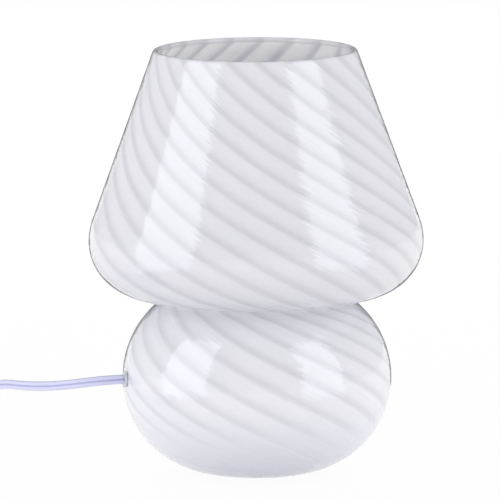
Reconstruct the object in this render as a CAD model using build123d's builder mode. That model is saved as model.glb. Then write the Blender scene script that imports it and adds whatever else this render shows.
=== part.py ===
from build123d import *

import os
from math import asin, atan2, cos, degrees, hypot, pi, radians, sin, sqrt, tan

# Mushroom table lamp. One blown opal glass body makes the shade, the waist and the base.
# A steel plate in the waist carries the lampholder and the bulb, and a flat twin cord
# leaves the left side of the base, with a rocker switch, a put-away coil and a plug.
# Millimetres. The origin is on the table under the lamp's axis, +Z is up, -Y is the front.

# ---- driving dimensions: glass ----
TOTAL_H = 236.0  # table to rim
SHADE_D = 185.0  # widest diameter of the shade
SHADE_WIDE_Z = 130.0  # height of that widest ring
SHADE_TILT = 20.0  # degrees between the shade's side and the vertical
SHOULDER_R = 33.6  # arc from the straight side to the widest ring
CURL_R = 29.5  # arc that curls the shade's edge under
WAIST_FILLET = 3.0  # tight hollow between shade and base
BASE_D = 149.0  # widest diameter of the base
BASE_WIDE_Z = 53.0  # height of that widest ring
BELLY_R = 54.3  # arc of the base above its widest ring
GLASS_T = 3.8  # wall thickness
PAD_T = 1.2  # thickness of the foot pads

# ---- driving dimensions: cord ----
CORD_W = 5.2  # width of the flat twin cord, upright along the whole route
CORD_T = 2.6  # thickness of the cord, the diameter of one core
HOLE_Z = 55.5  # height of the cord hole in the base
HOLE_TURN = 14.0  # degrees the hole is turned from the left side towards the front
HOLE_R = 3.6  # drilled hole in the glass
COIL_TURN_GAP = 0.6  # gap between the turns of the coil, and between its two layers
COIL_LAYER_HALF_TURNS = 8  # half turns in the bottom layer
COIL_OUTER_R = 35.2  # centre line of the coil's first half turn

# ---- driving dimensions: lampholder and bulb ----
NIPPLE_R = 5.0  # M10 x 1 threaded tube
NIPPLE_BORE_R = 4.0
HOLDER_R = 20.0  # outside of the lampholder
SCREW_R = 13.05  # crest of the E26 cap, cut back so that it slides in the shell
SCREW_PITCH = 3.63  # E26 thread, seven to the inch
BULB_R = 23.5
BULB_TIP_Z = 128.0  # lowest point of the bulb when it is screwed home

# ---- driving dimensions: switch and plug ----
SWITCH_W = 22.0
SWITCH_L = 44.0
SWITCH_H = 16.0
ROCKER_TILT = 8.0  # degrees each side of level
PLUG_W = 24.0
PLUG_H = 17.0
PLUG_L = 28.0
BLADE_GAP = 12.7  # between blade centres
BLADE_L = 15.9
BLADE_W = 6.35
BLADE_T = 1.5

os.makedirs("parts", exist_ok=True)


def save(builder, name):
    """Label one finished piece and write it to its own file."""
    builder.part.label = name
    export_step(builder.part, f"parts/{name}.step")


# ---------------------------------------------------------------- glass body
SHADE_R = SHADE_D / 2
BASE_R = BASE_D / 2
UNDER_R = BASE_WIDE_Z - PAD_T  # arc of the base below its widest ring, level at the bottom
SHOULDER_C = (SHADE_R - SHOULDER_R, SHADE_WIDE_Z)
CURL_C = (SHADE_R - CURL_R, SHADE_WIDE_Z)
BELLY_C = (BASE_R - BELLY_R, BASE_WIDE_Z)
UNDER_C = (BASE_R - UNDER_R, BASE_WIDE_Z)


def outer_meeting(c1, r1, c2, r2):
    """The outer of the two points at distance r1 from c1 and r2 from c2."""
    dx, dz = c2[0] - c1[0], c2[1] - c1[1]
    d = hypot(dx, dz)
    along = (r1 * r1 - r2 * r2 + d * d) / (2 * d)
    off = sqrt(r1 * r1 - along * along)
    return (c1[0] + (along * dx - off * dz) / d, c1[1] + (along * dz + off * dx) / d)


WAIST_C = outer_meeting(CURL_C, CURL_R + WAIST_FILLET, BELLY_C, BELLY_R + WAIST_FILLET)
CURL_END = degrees(atan2(WAIST_C[1] - CURL_C[1], WAIST_C[0] - CURL_C[0]))
BELLY_START = degrees(atan2(WAIST_C[1] - BELLY_C[1], WAIST_C[0] - BELLY_C[0]))
WAIST_SWEEP = 360 + (BELLY_START - 180) - (CURL_END + 180)
NECK_R = WAIST_FILLET + GLASS_T  # rounding of the neck's inner face, about WAIST_C


def glass_face(inset):
    """One face of the wall as a chain of arcs, from the shade's side down to the axis."""
    CenterArc(SHOULDER_C, SHOULDER_R - inset, SHADE_TILT, -SHADE_TILT)
    CenterArc(CURL_C, CURL_R - inset, 0, CURL_END)
    CenterArc(WAIST_C, WAIST_FILLET + inset, CURL_END + 180, WAIST_SWEEP)
    CenterArc(BELLY_C, BELLY_R - inset, BELLY_START, -BELLY_START)
    CenterArc(UNDER_C, UNDER_R - inset, 0, -90)
    Line((UNDER_C[0], PAD_T + inset), (0, PAD_T + inset))


def side_start(inset):
    """Where the straight side of the shade meets the shoulder arc."""
    r = SHOULDER_R - inset
    return (
        SHOULDER_C[0] + r * cos(radians(SHADE_TILT)),
        SHOULDER_C[1] + r * sin(radians(SHADE_TILT)),
    )


LIP_C_Z = TOTAL_H - GLASS_T / 2
MID_START = side_start(GLASS_T / 2)
LIP_C = (MID_START[0] - (LIP_C_Z - MID_START[1]) * tan(radians(SHADE_TILT)), LIP_C_Z)
LIP_OUT = (
    LIP_C[0] + GLASS_T / 2 * cos(radians(SHADE_TILT)),
    LIP_C[1] + GLASS_T / 2 * sin(radians(SHADE_TILT)),
)
LIP_IN = (2 * LIP_C[0] - LIP_OUT[0], 2 * LIP_C[1] - LIP_OUT[1])
LIP_TOP = (
    LIP_C[0] - GLASS_T / 2 * sin(radians(SHADE_TILT)),
    LIP_C[1] + GLASS_T / 2 * cos(radians(SHADE_TILT)),
)

# Unit vector from the axis through the cord hole, and the plane whose Z runs along it.
HOLE_DIR = Vector(-cos(radians(HOLE_TURN)), -sin(radians(HOLE_TURN)), 0)
HOLE_FACE_R = UNDER_C[0] + UNDER_R  # the hole is close to the widest ring
HOLE_PLANE = Plane(origin=(0, 0, HOLE_Z), x_dir=(0, 0, 1), z_dir=HOLE_DIR)

with BuildPart() as glass_body:
    with BuildSketch(Plane.XZ):
        with BuildLine():
            glass_face(0)
            Line((0, PAD_T), (0, PAD_T + GLASS_T))
            glass_face(GLASS_T)
            Line(side_start(GLASS_T), LIP_IN)
            ThreePointArc(LIP_IN, LIP_TOP, LIP_OUT)
            Line(LIP_OUT, side_start(0))
        make_face()
    revolve(axis=Axis.Z)
    with BuildSketch(HOLE_PLANE.offset(HOLE_FACE_R - 2 * GLASS_T)):
        Circle(HOLE_R)
    extrude(amount=3 * GLASS_T, mode=Mode.SUBTRACT)
save(glass_body, "glass_body")

PAD_R = 4.0
PAD_RING_R = 17.5

with BuildPart() as foot_pads:
    with BuildSketch():
        with PolarLocations(PAD_RING_R, 4, start_angle=45):
            Circle(PAD_R)
    extrude(amount=PAD_T)
    chamfer(foot_pads.edges().group_by(Axis.Z)[0], 0.3)
save(foot_pads, "foot_pads")

GROMMET_FLANGE_R = 4.5
GROMMET_FLANGE_T = 1.0
GROMMET_OUT = HOLE_FACE_R + 0.1  # inner side of the outer flange
GROMMET_IN = HOLE_FACE_R - GLASS_T - 0.6  # inner side of the inner flange

with BuildPart() as cord_grommet:
    with BuildSketch(HOLE_PLANE.offset(GROMMET_IN - GROMMET_FLANGE_T)):
        Circle(GROMMET_FLANGE_R)
    extrude(amount=GROMMET_FLANGE_T)
    with BuildSketch(HOLE_PLANE.offset(GROMMET_IN)):
        Circle(HOLE_R - 0.05)
    extrude(amount=GROMMET_OUT - GROMMET_IN)
    with BuildSketch(HOLE_PLANE.offset(GROMMET_OUT)):
        Circle(GROMMET_FLANGE_R)
    extrude(amount=GROMMET_FLANGE_T)
    fillet(cord_grommet.faces().sort_by(Axis.X)[0].edges(), 0.4)
    with BuildSketch(HOLE_PLANE.offset(GROMMET_IN - 2 * GROMMET_FLANGE_T)):
        SlotOverall(CORD_W + 0.1, CORD_T + 0.1)
    extrude(amount=GROMMET_OUT - GROMMET_IN + 4 * GROMMET_FLANGE_T, mode=Mode.SUBTRACT)
save(cord_grommet, "cord_grommet")

# ---------------------------------------------------------------- plate in the neck
PLATE_T = 1.0
PLATE_Z = WAIST_C[1] + 5.7  # underside of the plate's outer ring, above the neck
PLATE_R = 49.5
DISH_DEPTH = 3.0
DISH_R = 24.0
DISH_Z = PLATE_Z - DISH_DEPTH
SPRING_COUNT = 3
SPRING_START = 90.0
RIVET_RING_R = 37.0
RIVET_R = 1.5

with BuildPart() as neck_gasket:
    with BuildSketch(Plane.XZ):
        with BuildLine():
            Polyline(
                (44.5, PLATE_Z - 2.2),
                (51.8, PLATE_Z - 2.2),
                (51.8, PLATE_Z + 2.0),
                (50.8, PLATE_Z + PLATE_T + 1.2),
                (44.5, PLATE_Z + PLATE_T + 1.2),
                (44.5, PLATE_Z + PLATE_T),
                (PLATE_R, PLATE_Z + PLATE_T),
                (PLATE_R, PLATE_Z),
                (44.5, PLATE_Z),
                close=True,
            )
        make_face()
        with Locations(WAIST_C):
            Circle(NECK_R, mode=Mode.SUBTRACT)
    revolve(axis=Axis.Z)
save(neck_gasket, "neck_gasket")

with BuildPart() as holder_plate:
    with BuildSketch(Plane.XZ):
        with BuildLine():
            Polyline(
                (NIPPLE_R + 0.1, DISH_Z),
                (DISH_R, DISH_Z),
                (DISH_R + DISH_DEPTH, PLATE_Z),
                (PLATE_R, PLATE_Z),
                (PLATE_R, PLATE_Z + PLATE_T),
                (DISH_R + DISH_DEPTH - 0.4, PLATE_Z + PLATE_T),
                (DISH_R - 0.4, DISH_Z + PLATE_T),
                (NIPPLE_R + 0.1, DISH_Z + PLATE_T),
                close=True,
            )
        make_face()
    revolve(axis=Axis.Z)
    with BuildSketch(Plane.XY.offset(PLATE_Z - 1)):
        with PolarLocations(RIVET_RING_R, SPRING_COUNT, start_angle=SPRING_START):
            Circle(RIVET_R)
    extrude(amount=PLATE_T + 2, mode=Mode.SUBTRACT)
save(holder_plate, "holder_plate")

# One leg's centre line in its own upright plane: along the plate, down through the neck
# and out under it. The last stretch carries the soft sleeve.
LEG_T = 0.6
LEG_W = 9.0
LEG_TOP = PLATE_Z - LEG_T / 2
LEG_KNEE = (46.0, WAIST_C[1] - 3.0)
LEG_TIP = (51.6, WAIST_C[1] - 7.6)
LEG_POINTS = [(32.0, LEG_TOP), (43.2, LEG_TOP), LEG_KNEE, LEG_TIP]
LEG_BEND_R = 1.2


def leg_plane(k):
    """Upright plane through the axis at spring leg k, with its Y up."""
    a = radians(SPRING_START + k * 360 / SPRING_COUNT)
    return Plane(origin=(0, 0, 0), x_dir=(cos(a), sin(a), 0), z_dir=(sin(a), -cos(a), 0))


def part_way(p, q, share):
    """The point that is share of the way from p to q."""
    return (p[0] + (q[0] - p[0]) * share, p[1] + (q[1] - p[1]) * share)


with BuildPart() as retaining_springs:
    for k in range(SPRING_COUNT):
        with BuildSketch(leg_plane(k)):
            with BuildLine():
                FilletPolyline(*LEG_POINTS, radius=LEG_BEND_R)
            trace(line_width=LEG_T)
        extrude(amount=LEG_W / 2, both=True)
    with BuildSketch(Plane.XY.offset(PLATE_Z - 2)):
        with PolarLocations(RIVET_RING_R, SPRING_COUNT, start_angle=SPRING_START):
            Circle(RIVET_R)
    extrude(amount=4, mode=Mode.SUBTRACT)
save(retaining_springs, "retaining_springs")

with BuildPart() as spring_tips:
    for k in range(SPRING_COUNT):
        with BuildSketch(leg_plane(k)):
            with BuildLine():
                Line(part_way(LEG_KNEE, LEG_TIP, 0.45), part_way(LEG_KNEE, LEG_TIP, 1.1))
            trace(line_width=LEG_T + 1.6)
        extrude(amount=LEG_W / 2 + 0.8, both=True)
    for k in range(SPRING_COUNT):
        with BuildSketch(leg_plane(k)):
            with BuildLine():
                Line(LEG_KNEE, LEG_TIP)
            trace(line_width=LEG_T)
        extrude(amount=LEG_W / 2, both=True, mode=Mode.SUBTRACT)
save(spring_tips, "spring_tips")

RIVET_HEAD_R = 2.6
RIVET_HEAD_T = 1.0

with BuildPart() as spring_rivets:
    with BuildSketch(Plane.XY.offset(PLATE_Z - LEG_T - RIVET_HEAD_T)):
        with PolarLocations(RIVET_RING_R, SPRING_COUNT, start_angle=SPRING_START):
            Circle(RIVET_HEAD_R)
    extrude(amount=RIVET_HEAD_T)
    with BuildSketch(Plane.XY.offset(PLATE_Z - LEG_T)):
        with PolarLocations(RIVET_RING_R, SPRING_COUNT, start_angle=SPRING_START):
            Circle(RIVET_R)
    extrude(amount=PLATE_T + LEG_T)
    with BuildSketch(Plane.XY.offset(PLATE_Z + PLATE_T)):
        with PolarLocations(RIVET_RING_R, SPRING_COUNT, start_angle=SPRING_START):
            Circle(RIVET_HEAD_R)
    extrude(amount=RIVET_HEAD_T)
    fillet(spring_rivets.edges().group_by(Axis.Z)[-1], 0.7)
    fillet(spring_rivets.edges().group_by(Axis.Z)[0], 0.7)
save(spring_rivets, "spring_rivets")

# ---------------------------------------------------------------- nipple and lampholder
WASHER_T = 1.2
NUT_T = 4.5
NUT_Z = DISH_Z - WASHER_T - NUT_T
CAP_Z = DISH_Z + PLATE_T + WASHER_T  # underside of the lampholder
CAP_H = 14.0
CAP_FLOOR = 3.0
CAP_WALL = 1.8
CAP_TOP = CAP_Z + CAP_H
NIPPLE_BOTTOM = NUT_Z - 3.0
NIPPLE_TOP = CAP_Z + CAP_FLOOR + 3.0

with BuildPart() as threaded_nipple:
    with BuildSketch(Plane.XY.offset(NIPPLE_BOTTOM)):
        Circle(NIPPLE_R)
        Circle(NIPPLE_BORE_R, mode=Mode.SUBTRACT)
    extrude(amount=NIPPLE_TOP - NIPPLE_BOTTOM)
    chamfer(threaded_nipple.edges().group_by(Axis.Z)[0], 0.3)
    chamfer(threaded_nipple.edges().group_by(Axis.Z)[-1], 0.3)
save(threaded_nipple, "threaded_nipple")

with BuildPart() as nipple_washers:
    for z in (DISH_Z - WASHER_T, DISH_Z + PLATE_T):
        with BuildSketch(Plane.XY.offset(z)):
            Circle(10.0)
            Circle(NIPPLE_R + 0.05, mode=Mode.SUBTRACT)
        extrude(amount=WASHER_T)
save(nipple_washers, "nipple_washers")

with BuildPart() as nipple_nut:
    with BuildSketch(Plane.XY.offset(NUT_Z)):
        RegularPolygon(7.0, 6, major_radius=False)
        Circle(NIPPLE_R, mode=Mode.SUBTRACT)
    extrude(amount=NUT_T)
    chamfer(nipple_nut.edges().filter_by(GeomType.CIRCLE), 0.4)
save(nipple_nut, "nipple_nut")

BODY_TOP = 152.0
BODY_LIP = 4.0

with BuildPart() as socket_cap:
    with BuildSketch(Plane.XZ):
        with BuildLine():
            Polyline(
                (NIPPLE_R, CAP_Z),
                (HOLDER_R - 5, CAP_Z),
                (HOLDER_R - 1, CAP_Z + 4),
                (HOLDER_R - 1, CAP_TOP - 4),
                (HOLDER_R - CAP_WALL - 0.1, CAP_TOP - 4),
                (HOLDER_R - CAP_WALL - 0.1, CAP_TOP),
                (HOLDER_R - 2 * CAP_WALL, CAP_TOP),
                (HOLDER_R - 2 * CAP_WALL, CAP_Z + CAP_FLOOR + 2),
                (HOLDER_R - 2 * CAP_WALL - 2, CAP_Z + CAP_FLOOR),
                (NIPPLE_R + 3, CAP_Z + CAP_FLOOR),
                (NIPPLE_R + 3, NIPPLE_TOP - 0.5),
                (NIPPLE_R, NIPPLE_TOP - 0.5),
                close=True,
            )
        make_face()
    revolve(axis=Axis.Z)
save(socket_cap, "socket_cap")

with BuildPart() as socket_body:
    with BuildSketch(Plane.XZ):
        with BuildLine():
            Polyline(
                (HOLDER_R - CAP_WALL, CAP_TOP - 4),
                (HOLDER_R, CAP_TOP - 4),
                (HOLDER_R, BODY_TOP - 8),
                (HOLDER_R - 1.5, BODY_TOP - 1),
                (HOLDER_R - 2.5, BODY_TOP),
                (HOLDER_R - BODY_LIP, BODY_TOP),
                (HOLDER_R - BODY_LIP, BODY_TOP - 6),
                (HOLDER_R - CAP_WALL, BODY_TOP - 10),
                close=True,
            )
        make_face()
    revolve(axis=Axis.Z)
    with BuildSketch(Plane.XY.offset(CAP_TOP + 3)):
        with PolarLocations(HOLDER_R, 24):
            Circle(0.5)
    extrude(amount=14, mode=Mode.SUBTRACT)
save(socket_body, "socket_body")

CORE_R = HOLDER_R - CAP_WALL - 0.2
CORE_Z = CAP_TOP + 0.2
CORE_T = 5.0
CORE_TOP = CORE_Z + CORE_T
TERMINAL_X = 10.0
CORE_SLOT = 4.0  # where the two cores come up through the lampholder's core

with BuildPart() as socket_insulator:
    with BuildSketch(Plane.XY.offset(CORE_Z)):
        Circle(CORE_R)
        with Locations((0, 9.5)):
            Rectangle(13, CORE_SLOT, mode=Mode.SUBTRACT)
    extrude(amount=CORE_T)
    with BuildSketch(Plane.XY.offset(CORE_Z - 4)):
        with Locations((-TERMINAL_X, -2), (TERMINAL_X, -2)):
            Rectangle(6, 8)
    extrude(amount=4)
save(socket_insulator, "socket_insulator")

SHELL_T = 0.35
SHELL_DEPTH = 0.5  # depth of the rolled thread
SHELL_R = SCREW_R + 0.35  # crest side of the shell that faces the cap
SHELL_Z = CORE_TOP
SHELL_TURNS = 6


def rolled_wave(r, z, turns, depth):
    """Half circles in and out, the profile of a rolled screw thread, going up."""
    quarter = SCREW_PITCH / 4
    for k in range(turns):
        low = z + k * SCREW_PITCH
        ThreePointArc((r, low), (r + depth, low + quarter), (r, low + 2 * quarter))
        ThreePointArc(
            (r, low + 2 * quarter), (r - depth, low + 3 * quarter), (r, low + 4 * quarter)
        )


with BuildPart() as screw_shell:
    with BuildSketch(Plane.XZ):
        with BuildLine():
            mid = SHELL_R + SHELL_DEPTH
            top = SHELL_Z + SHELL_T + SHELL_TURNS * SCREW_PITCH
            rolled_wave(mid, SHELL_Z + SHELL_T, SHELL_TURNS, SHELL_DEPTH)
            Line((mid, top), (mid + SHELL_T, top))
            rolled_wave(mid + SHELL_T, SHELL_Z + SHELL_T, SHELL_TURNS, SHELL_DEPTH)
            Line((mid + SHELL_T, SHELL_Z + SHELL_T), (mid + SHELL_T, SHELL_Z))
            Line((mid + SHELL_T, SHELL_Z), (8.0, SHELL_Z))
            Line((8.0, SHELL_Z), (8.0, SHELL_Z + SHELL_T))
            Line((8.0, SHELL_Z + SHELL_T), (mid, SHELL_Z + SHELL_T))
        make_face()
    revolve(axis=Axis.Z)
save(screw_shell, "screw_shell")

# Sprung tongue: a foot on the core, a rise and a bow that stops just under the bulb's tip.
TONGUE_T = 0.5
TONGUE_W = 5.0
TONGUE_TOP = BULB_TIP_Z - 0.3
TONGUE_POINTS = [
    (-5.5, CORE_TOP + SHELL_T + TONGUE_T / 2),
    (3.8, CORE_TOP + SHELL_T + TONGUE_T / 2),
    (5.2, TONGUE_TOP - 1.6),
    (0.5, TONGUE_TOP - TONGUE_T / 2),
    (-3.2, TONGUE_TOP - 1.0),
]

with BuildPart() as centre_contact:
    with BuildSketch(Plane.XZ):
        with BuildLine():
            FilletPolyline(*TONGUE_POINTS, radius=0.6)
        trace(line_width=TONGUE_T)
    extrude(amount=TONGUE_W / 2, both=True)
    with BuildSketch(Plane.XY.offset(CORE_TOP)):
        with Locations((-3.5, 0)):
            Circle(1.5)
    extrude(amount=SHELL_T + TONGUE_T + 0.5)
save(centre_contact, "centre_contact")

PLATE_DROP = CORE_Z - 4  # underside of the insulator's two pillars

with BuildPart() as terminal_plates:
    with BuildSketch(Plane.XY.offset(PLATE_DROP - 0.8)):
        with Locations((-TERMINAL_X, -2), (TERMINAL_X, -2)):
            Rectangle(6, 8)
            Circle(1.55, mode=Mode.SUBTRACT)
    extrude(amount=0.8)
save(terminal_plates, "terminal_plates")

TERMINAL_HEAD_T = 1.6

with BuildPart() as terminal_screws:
    with BuildSketch(Plane.XY.offset(PLATE_DROP - 0.8 - 1.2 - TERMINAL_HEAD_T)):
        with Locations((-TERMINAL_X, -2), (TERMINAL_X, -2)):
            Circle(2.7)
    extrude(amount=TERMINAL_HEAD_T)
    with BuildSketch(Plane.XY.offset(PLATE_DROP - 0.8 - 1.2)):
        with Locations((-TERMINAL_X, -2), (TERMINAL_X, -2)):
            Circle(1.5)
    extrude(amount=2.0)
    with BuildSketch(Plane.XY.offset(PLATE_DROP - 0.8 - 1.2 - TERMINAL_HEAD_T)):
        with Locations((-TERMINAL_X, -2), (TERMINAL_X, -2)):
            Rectangle(6, 0.8)
    extrude(amount=0.8, mode=Mode.SUBTRACT)
save(terminal_screws, "terminal_screws")

GRIP_TOP = NIPPLE_TOP + 1.6

with BuildPart() as cord_grip:
    with BuildSketch(Plane.XY.offset(NIPPLE_TOP)):
        Circle(NIPPLE_R)
    extrude(amount=GRIP_TOP - NIPPLE_TOP)
    fillet(cord_grip.edges().group_by(Axis.Z)[-1], 0.8)
    with BuildSketch(Plane.XY.offset(NIPPLE_TOP - 6)):
        Circle(NIPPLE_BORE_R - 0.05)
    extrude(amount=6)
    with BuildSketch(Plane(origin=(0, 0, NIPPLE_TOP - 7), x_dir=HOLE_DIR)):
        SlotOverall(CORD_W + 0.1, CORD_T + 0.1)
    extrude(amount=12, mode=Mode.SUBTRACT)
save(cord_grip, "cord_grip")


# ---------------------------------------------------------------- cord inside the base
def corner_radii(points):
    """For each corner, 0.45 of its shorter run over the tangent of half the turn."""
    radii = []
    for p, corner, q in zip(points, points[1:], points[2:]):
        shorter = min((corner - p).length, (q - corner).length)
        turn = radians((corner - p).get_angle(q - corner))
        radii.append(0.45 * shorter / tan(turn / 2))
    return radii


def on_hole_plane(r, z):
    """A point at distance r from the axis on the side of the cord hole."""
    return HOLE_DIR * r + Vector(0, 0, z)


JOIN_R = HOLE_FACE_R - GLASS_T / 2  # the two cord nodes meet inside the grommet
INNER_TOP = GRIP_TOP + 0.6
INNER_POINTS = [
    on_hole_plane(JOIN_R, HOLE_Z),
    on_hole_plane(58.0, HOLE_Z),
    on_hole_plane(40.0, HOLE_Z - 7.0),
    on_hole_plane(20.0, HOLE_Z - 6.0),
    on_hole_plane(5.0, HOLE_Z + 7.0),
    on_hole_plane(0.0, HOLE_Z + 27.0),
    on_hole_plane(0.0, INNER_TOP),
]
INNER_RADII = corner_radii(INNER_POINTS)

with BuildPart() as inner_cord:
    with BuildLine() as inner_path:
        FilletPolyline(*INNER_POINTS, radius=INNER_RADII)
    with BuildSketch(Plane(origin=INNER_POINTS[0], x_dir=(0, 0, 1), z_dir=-HOLE_DIR)):
        SlotOverall(CORD_W, CORD_T)
    sweep(path=inner_path.wires()[0])
save(inner_cord, "inner_cord")

CORE_WIRE_R = 1.15
CORE_WIRE_BEND = 1.4
WIRE_SPREAD = 1.35  # the two cores leave the cord side by side, along the hole's direction
WIRE_ARCH_Z = INNER_TOP + 2.8
WIRE_END = (5.6, -2.0, PLATE_DROP - 2.8)  # beside the terminal screw on the right


def core_wire(side):
    """Centre line of one core, from the top of the cord over to its terminal screw."""
    start = HOLE_DIR * (-side * WIRE_SPREAD) + Vector(0, 0, INNER_TOP)
    end = Vector(side * WIRE_END[0], WIRE_END[1], WIRE_END[2])
    return [
        start,
        Vector(start.X, start.Y, WIRE_ARCH_Z),
        Vector(end.X, end.Y, WIRE_ARCH_Z),
        end,
    ]


with BuildPart() as conductor_wires:
    for side in (-1, 1):
        wire_points = core_wire(side)
        with BuildLine() as wire_path:
            FilletPolyline(*wire_points, radius=CORE_WIRE_BEND)
        with BuildSketch(Plane(origin=wire_points[0])):
            Circle(CORE_WIRE_R)
        sweep(path=wire_path.wires()[0])
save(conductor_wires, "conductor_wires")

# ---------------------------------------------------------------- bulb
TIP_T = 1.3
GLAZE_H = 4.5
CAP_BOTTOM = BULB_TIP_Z + TIP_T + GLAZE_H
CAP_TURNS = 4
CAP_PLAIN = 3.0
CAP_END = CAP_BOTTOM + CAP_TURNS * SCREW_PITCH + CAP_PLAIN
HOUSING_TOP = CAP_END + 19.0
GLOBE_C_Z = HOUSING_TOP + 9.0
CAP_T = 0.4
THREAD_DEPTH = 0.45

with BuildPart() as bulb_contact:
    with BuildSketch(Plane.XZ):
        with BuildLine():
            Polyline((0, BULB_TIP_Z + TIP_T), (0, BULB_TIP_Z))
            ThreePointArc((0, BULB_TIP_Z), (3.2, BULB_TIP_Z + 0.3), (4.8, BULB_TIP_Z + TIP_T))
            Line((4.8, BULB_TIP_Z + TIP_T), (0, BULB_TIP_Z + TIP_T))
        make_face()
    revolve(axis=Axis.Z)
save(bulb_contact, "bulb_contact")

with BuildPart() as bulb_insulator:
    with BuildSketch(Plane.XZ):
        with BuildLine():
            Polyline(
                (0, BULB_TIP_Z + TIP_T),
                (5.2, BULB_TIP_Z + TIP_T),
                (10.6, CAP_BOTTOM - 0.6),
                (10.6, CAP_BOTTOM + 1.4),
                (0, CAP_BOTTOM + 1.4),
                close=True,
            )
        make_face()
    revolve(axis=Axis.Z)
save(bulb_insulator, "bulb_insulator")

with BuildPart() as bulb_screw_cap:
    with BuildSketch(Plane.XZ):
        with BuildLine():
            mid = SCREW_R - THREAD_DEPTH
            rolled_wave(mid, CAP_BOTTOM, CAP_TURNS, THREAD_DEPTH)
            top = CAP_BOTTOM + CAP_TURNS * SCREW_PITCH
            Line((mid, top), (mid, CAP_END))
            Line((mid, CAP_END), (mid - CAP_T, CAP_END))
            Line((mid - CAP_T, CAP_END), (mid - CAP_T, top))
            rolled_wave(mid - CAP_T, CAP_BOTTOM, CAP_TURNS, THREAD_DEPTH)
            Polyline(
                (mid - CAP_T, CAP_BOTTOM),
                (10.8, CAP_BOTTOM - 0.6),
                (10.8, CAP_BOTTOM - 0.6 - CAP_T),
                (mid, CAP_BOTTOM - CAP_T),
                (mid, CAP_BOTTOM),
            )
        make_face()
    revolve(axis=Axis.Z)
save(bulb_screw_cap, "bulb_screw_cap")

HOUSING_T = 1.4

with BuildPart() as bulb_housing:
    with BuildSketch(Plane.XZ):
        with BuildLine():
            foot = SCREW_R - THREAD_DEPTH - CAP_T - 0.1
            Line((foot, CAP_END - 2.5), (foot, CAP_END))
            Line((foot, CAP_END), (SCREW_R + 0.6, CAP_END))
            Line((SCREW_R + 0.6, CAP_END), (SCREW_R + 0.6, CAP_END + 1.0))
            ThreePointArc(
                (SCREW_R + 0.6, CAP_END + 1.0), (17.6, CAP_END + 9.5), (BULB_R - 0.8, HOUSING_TOP)
            )
            Line((BULB_R - 0.8, HOUSING_TOP), (BULB_R - 0.8 - HOUSING_T, HOUSING_TOP))
            ThreePointArc(
                (BULB_R - 0.8 - HOUSING_T, HOUSING_TOP),
                (17.6 - HOUSING_T, CAP_END + 10.2),
                (foot - HOUSING_T, CAP_END + 1.2),
            )
            Line((foot - HOUSING_T, CAP_END + 1.2), (foot - HOUSING_T, CAP_END - 2.5))
            Line((foot - HOUSING_T, CAP_END - 2.5), (foot, CAP_END - 2.5))
        make_face()
    revolve(axis=Axis.Z)
save(bulb_housing, "bulb_housing")

BOARD_R = 18.5
BOARD_Z = HOUSING_TOP - 2.5
BOARD_T = 1.5

with BuildPart() as led_board:
    with BuildSketch(Plane.XY.offset(BOARD_Z)):
        Circle(BOARD_R)
        Circle(2.5, mode=Mode.SUBTRACT)
    extrude(amount=BOARD_T)
save(led_board, "led_board")

with BuildPart() as led_chips:
    with BuildSketch(Plane.XY.offset(BOARD_Z + BOARD_T)):
        with PolarLocations(12.5, 10):
            Rectangle(2.8, 3.5)
    extrude(amount=0.8)
save(led_chips, "led_chips")

with BuildPart() as driver_capsule:
    with BuildSketch(Plane.XY.offset(CAP_BOTTOM + 1.6)):
        Circle(8.5)
    extrude(amount=BOARD_Z - CAP_BOTTOM - 1.6)
    fillet(driver_capsule.edges().group_by(Axis.Z)[0], 2.0)
save(driver_capsule, "driver_capsule")

GLOBE_T = 1.2

with BuildPart() as bulb_globe:
    with BuildSketch(Plane.XZ):
        with BuildLine():
            lip = degrees(asin((HOUSING_TOP - GLOBE_C_Z) / BULB_R))
            outer = CenterArc((0, GLOBE_C_Z), BULB_R, lip, 90 - lip)
            inner = CenterArc((0, GLOBE_C_Z), BULB_R - GLOBE_T, lip, 90 - lip)
            Line(outer @ 0, inner @ 0)
            Line(outer @ 1, inner @ 1)
        make_face()
    revolve(axis=Axis.Z)
save(bulb_globe, "bulb_globe")

# ---------------------------------------------------------------- cord outside
# Route of the free stretch, chosen by hand: straight out of the grommet, sagging to the
# left as it swings to the back, then down to the table and round into the switch.
CORD_ON_TABLE = CORD_W / 2 + 0.1
SWITCH_X = -234.5
SWITCH_NECK_L = 7.0
SWITCH_Y = 14.0
SWITCH_END = SWITCH_L / 2 + SWITCH_NECK_L
SWITCH_CORD_Z = 7.4
LEAD_POINTS = [
    on_hole_plane(JOIN_R, HOLE_Z),
    on_hole_plane(87.0, HOLE_Z),
    Vector(-109.5, -15.5, 51.3),
    Vector(-128.5, 3.5, 48.0),
    Vector(-142.5, 30.5, 45.0),
    Vector(-154.0, 58.0, 36.5),
    Vector(-167.5, 79.5, 23.5),
    Vector(-185.5, 92.0, 12.5),
    Vector(-205.3, 94.8, 6.2),
    Vector(-221.9, 87.8, 3.6),
    Vector(-231.9, 72.9, 4.0),
    Vector(-234.3, 56.0, 6.8),
    Vector(SWITCH_X, SWITCH_Y + SWITCH_END, SWITCH_CORD_Z),
]
LEAD_RADII = corner_radii(LEAD_POINTS)


def cord_section(start, heading):
    """Plane across the cord at its start, with the cord's width upright."""
    return Plane(origin=start, x_dir=(0, 0, 1), z_dir=heading)


def line_above(wire):
    """The same line a little higher, which keeps the cord's width upright on its way."""
    return wire.moved(Location((0, 0, 20)))


with BuildPart() as cord_lead:
    with BuildLine() as lead_path:
        FilletPolyline(*LEAD_POINTS, radius=LEAD_RADII)
    with BuildSketch(cord_section(LEAD_POINTS[0], HOLE_DIR)):
        SlotOverall(CORD_W, CORD_T)
    lead_wire = lead_path.wires()[0]
    sweep(path=lead_wire, binormal=line_above(lead_wire))
save(cord_lead, "cord_lead")

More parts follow.
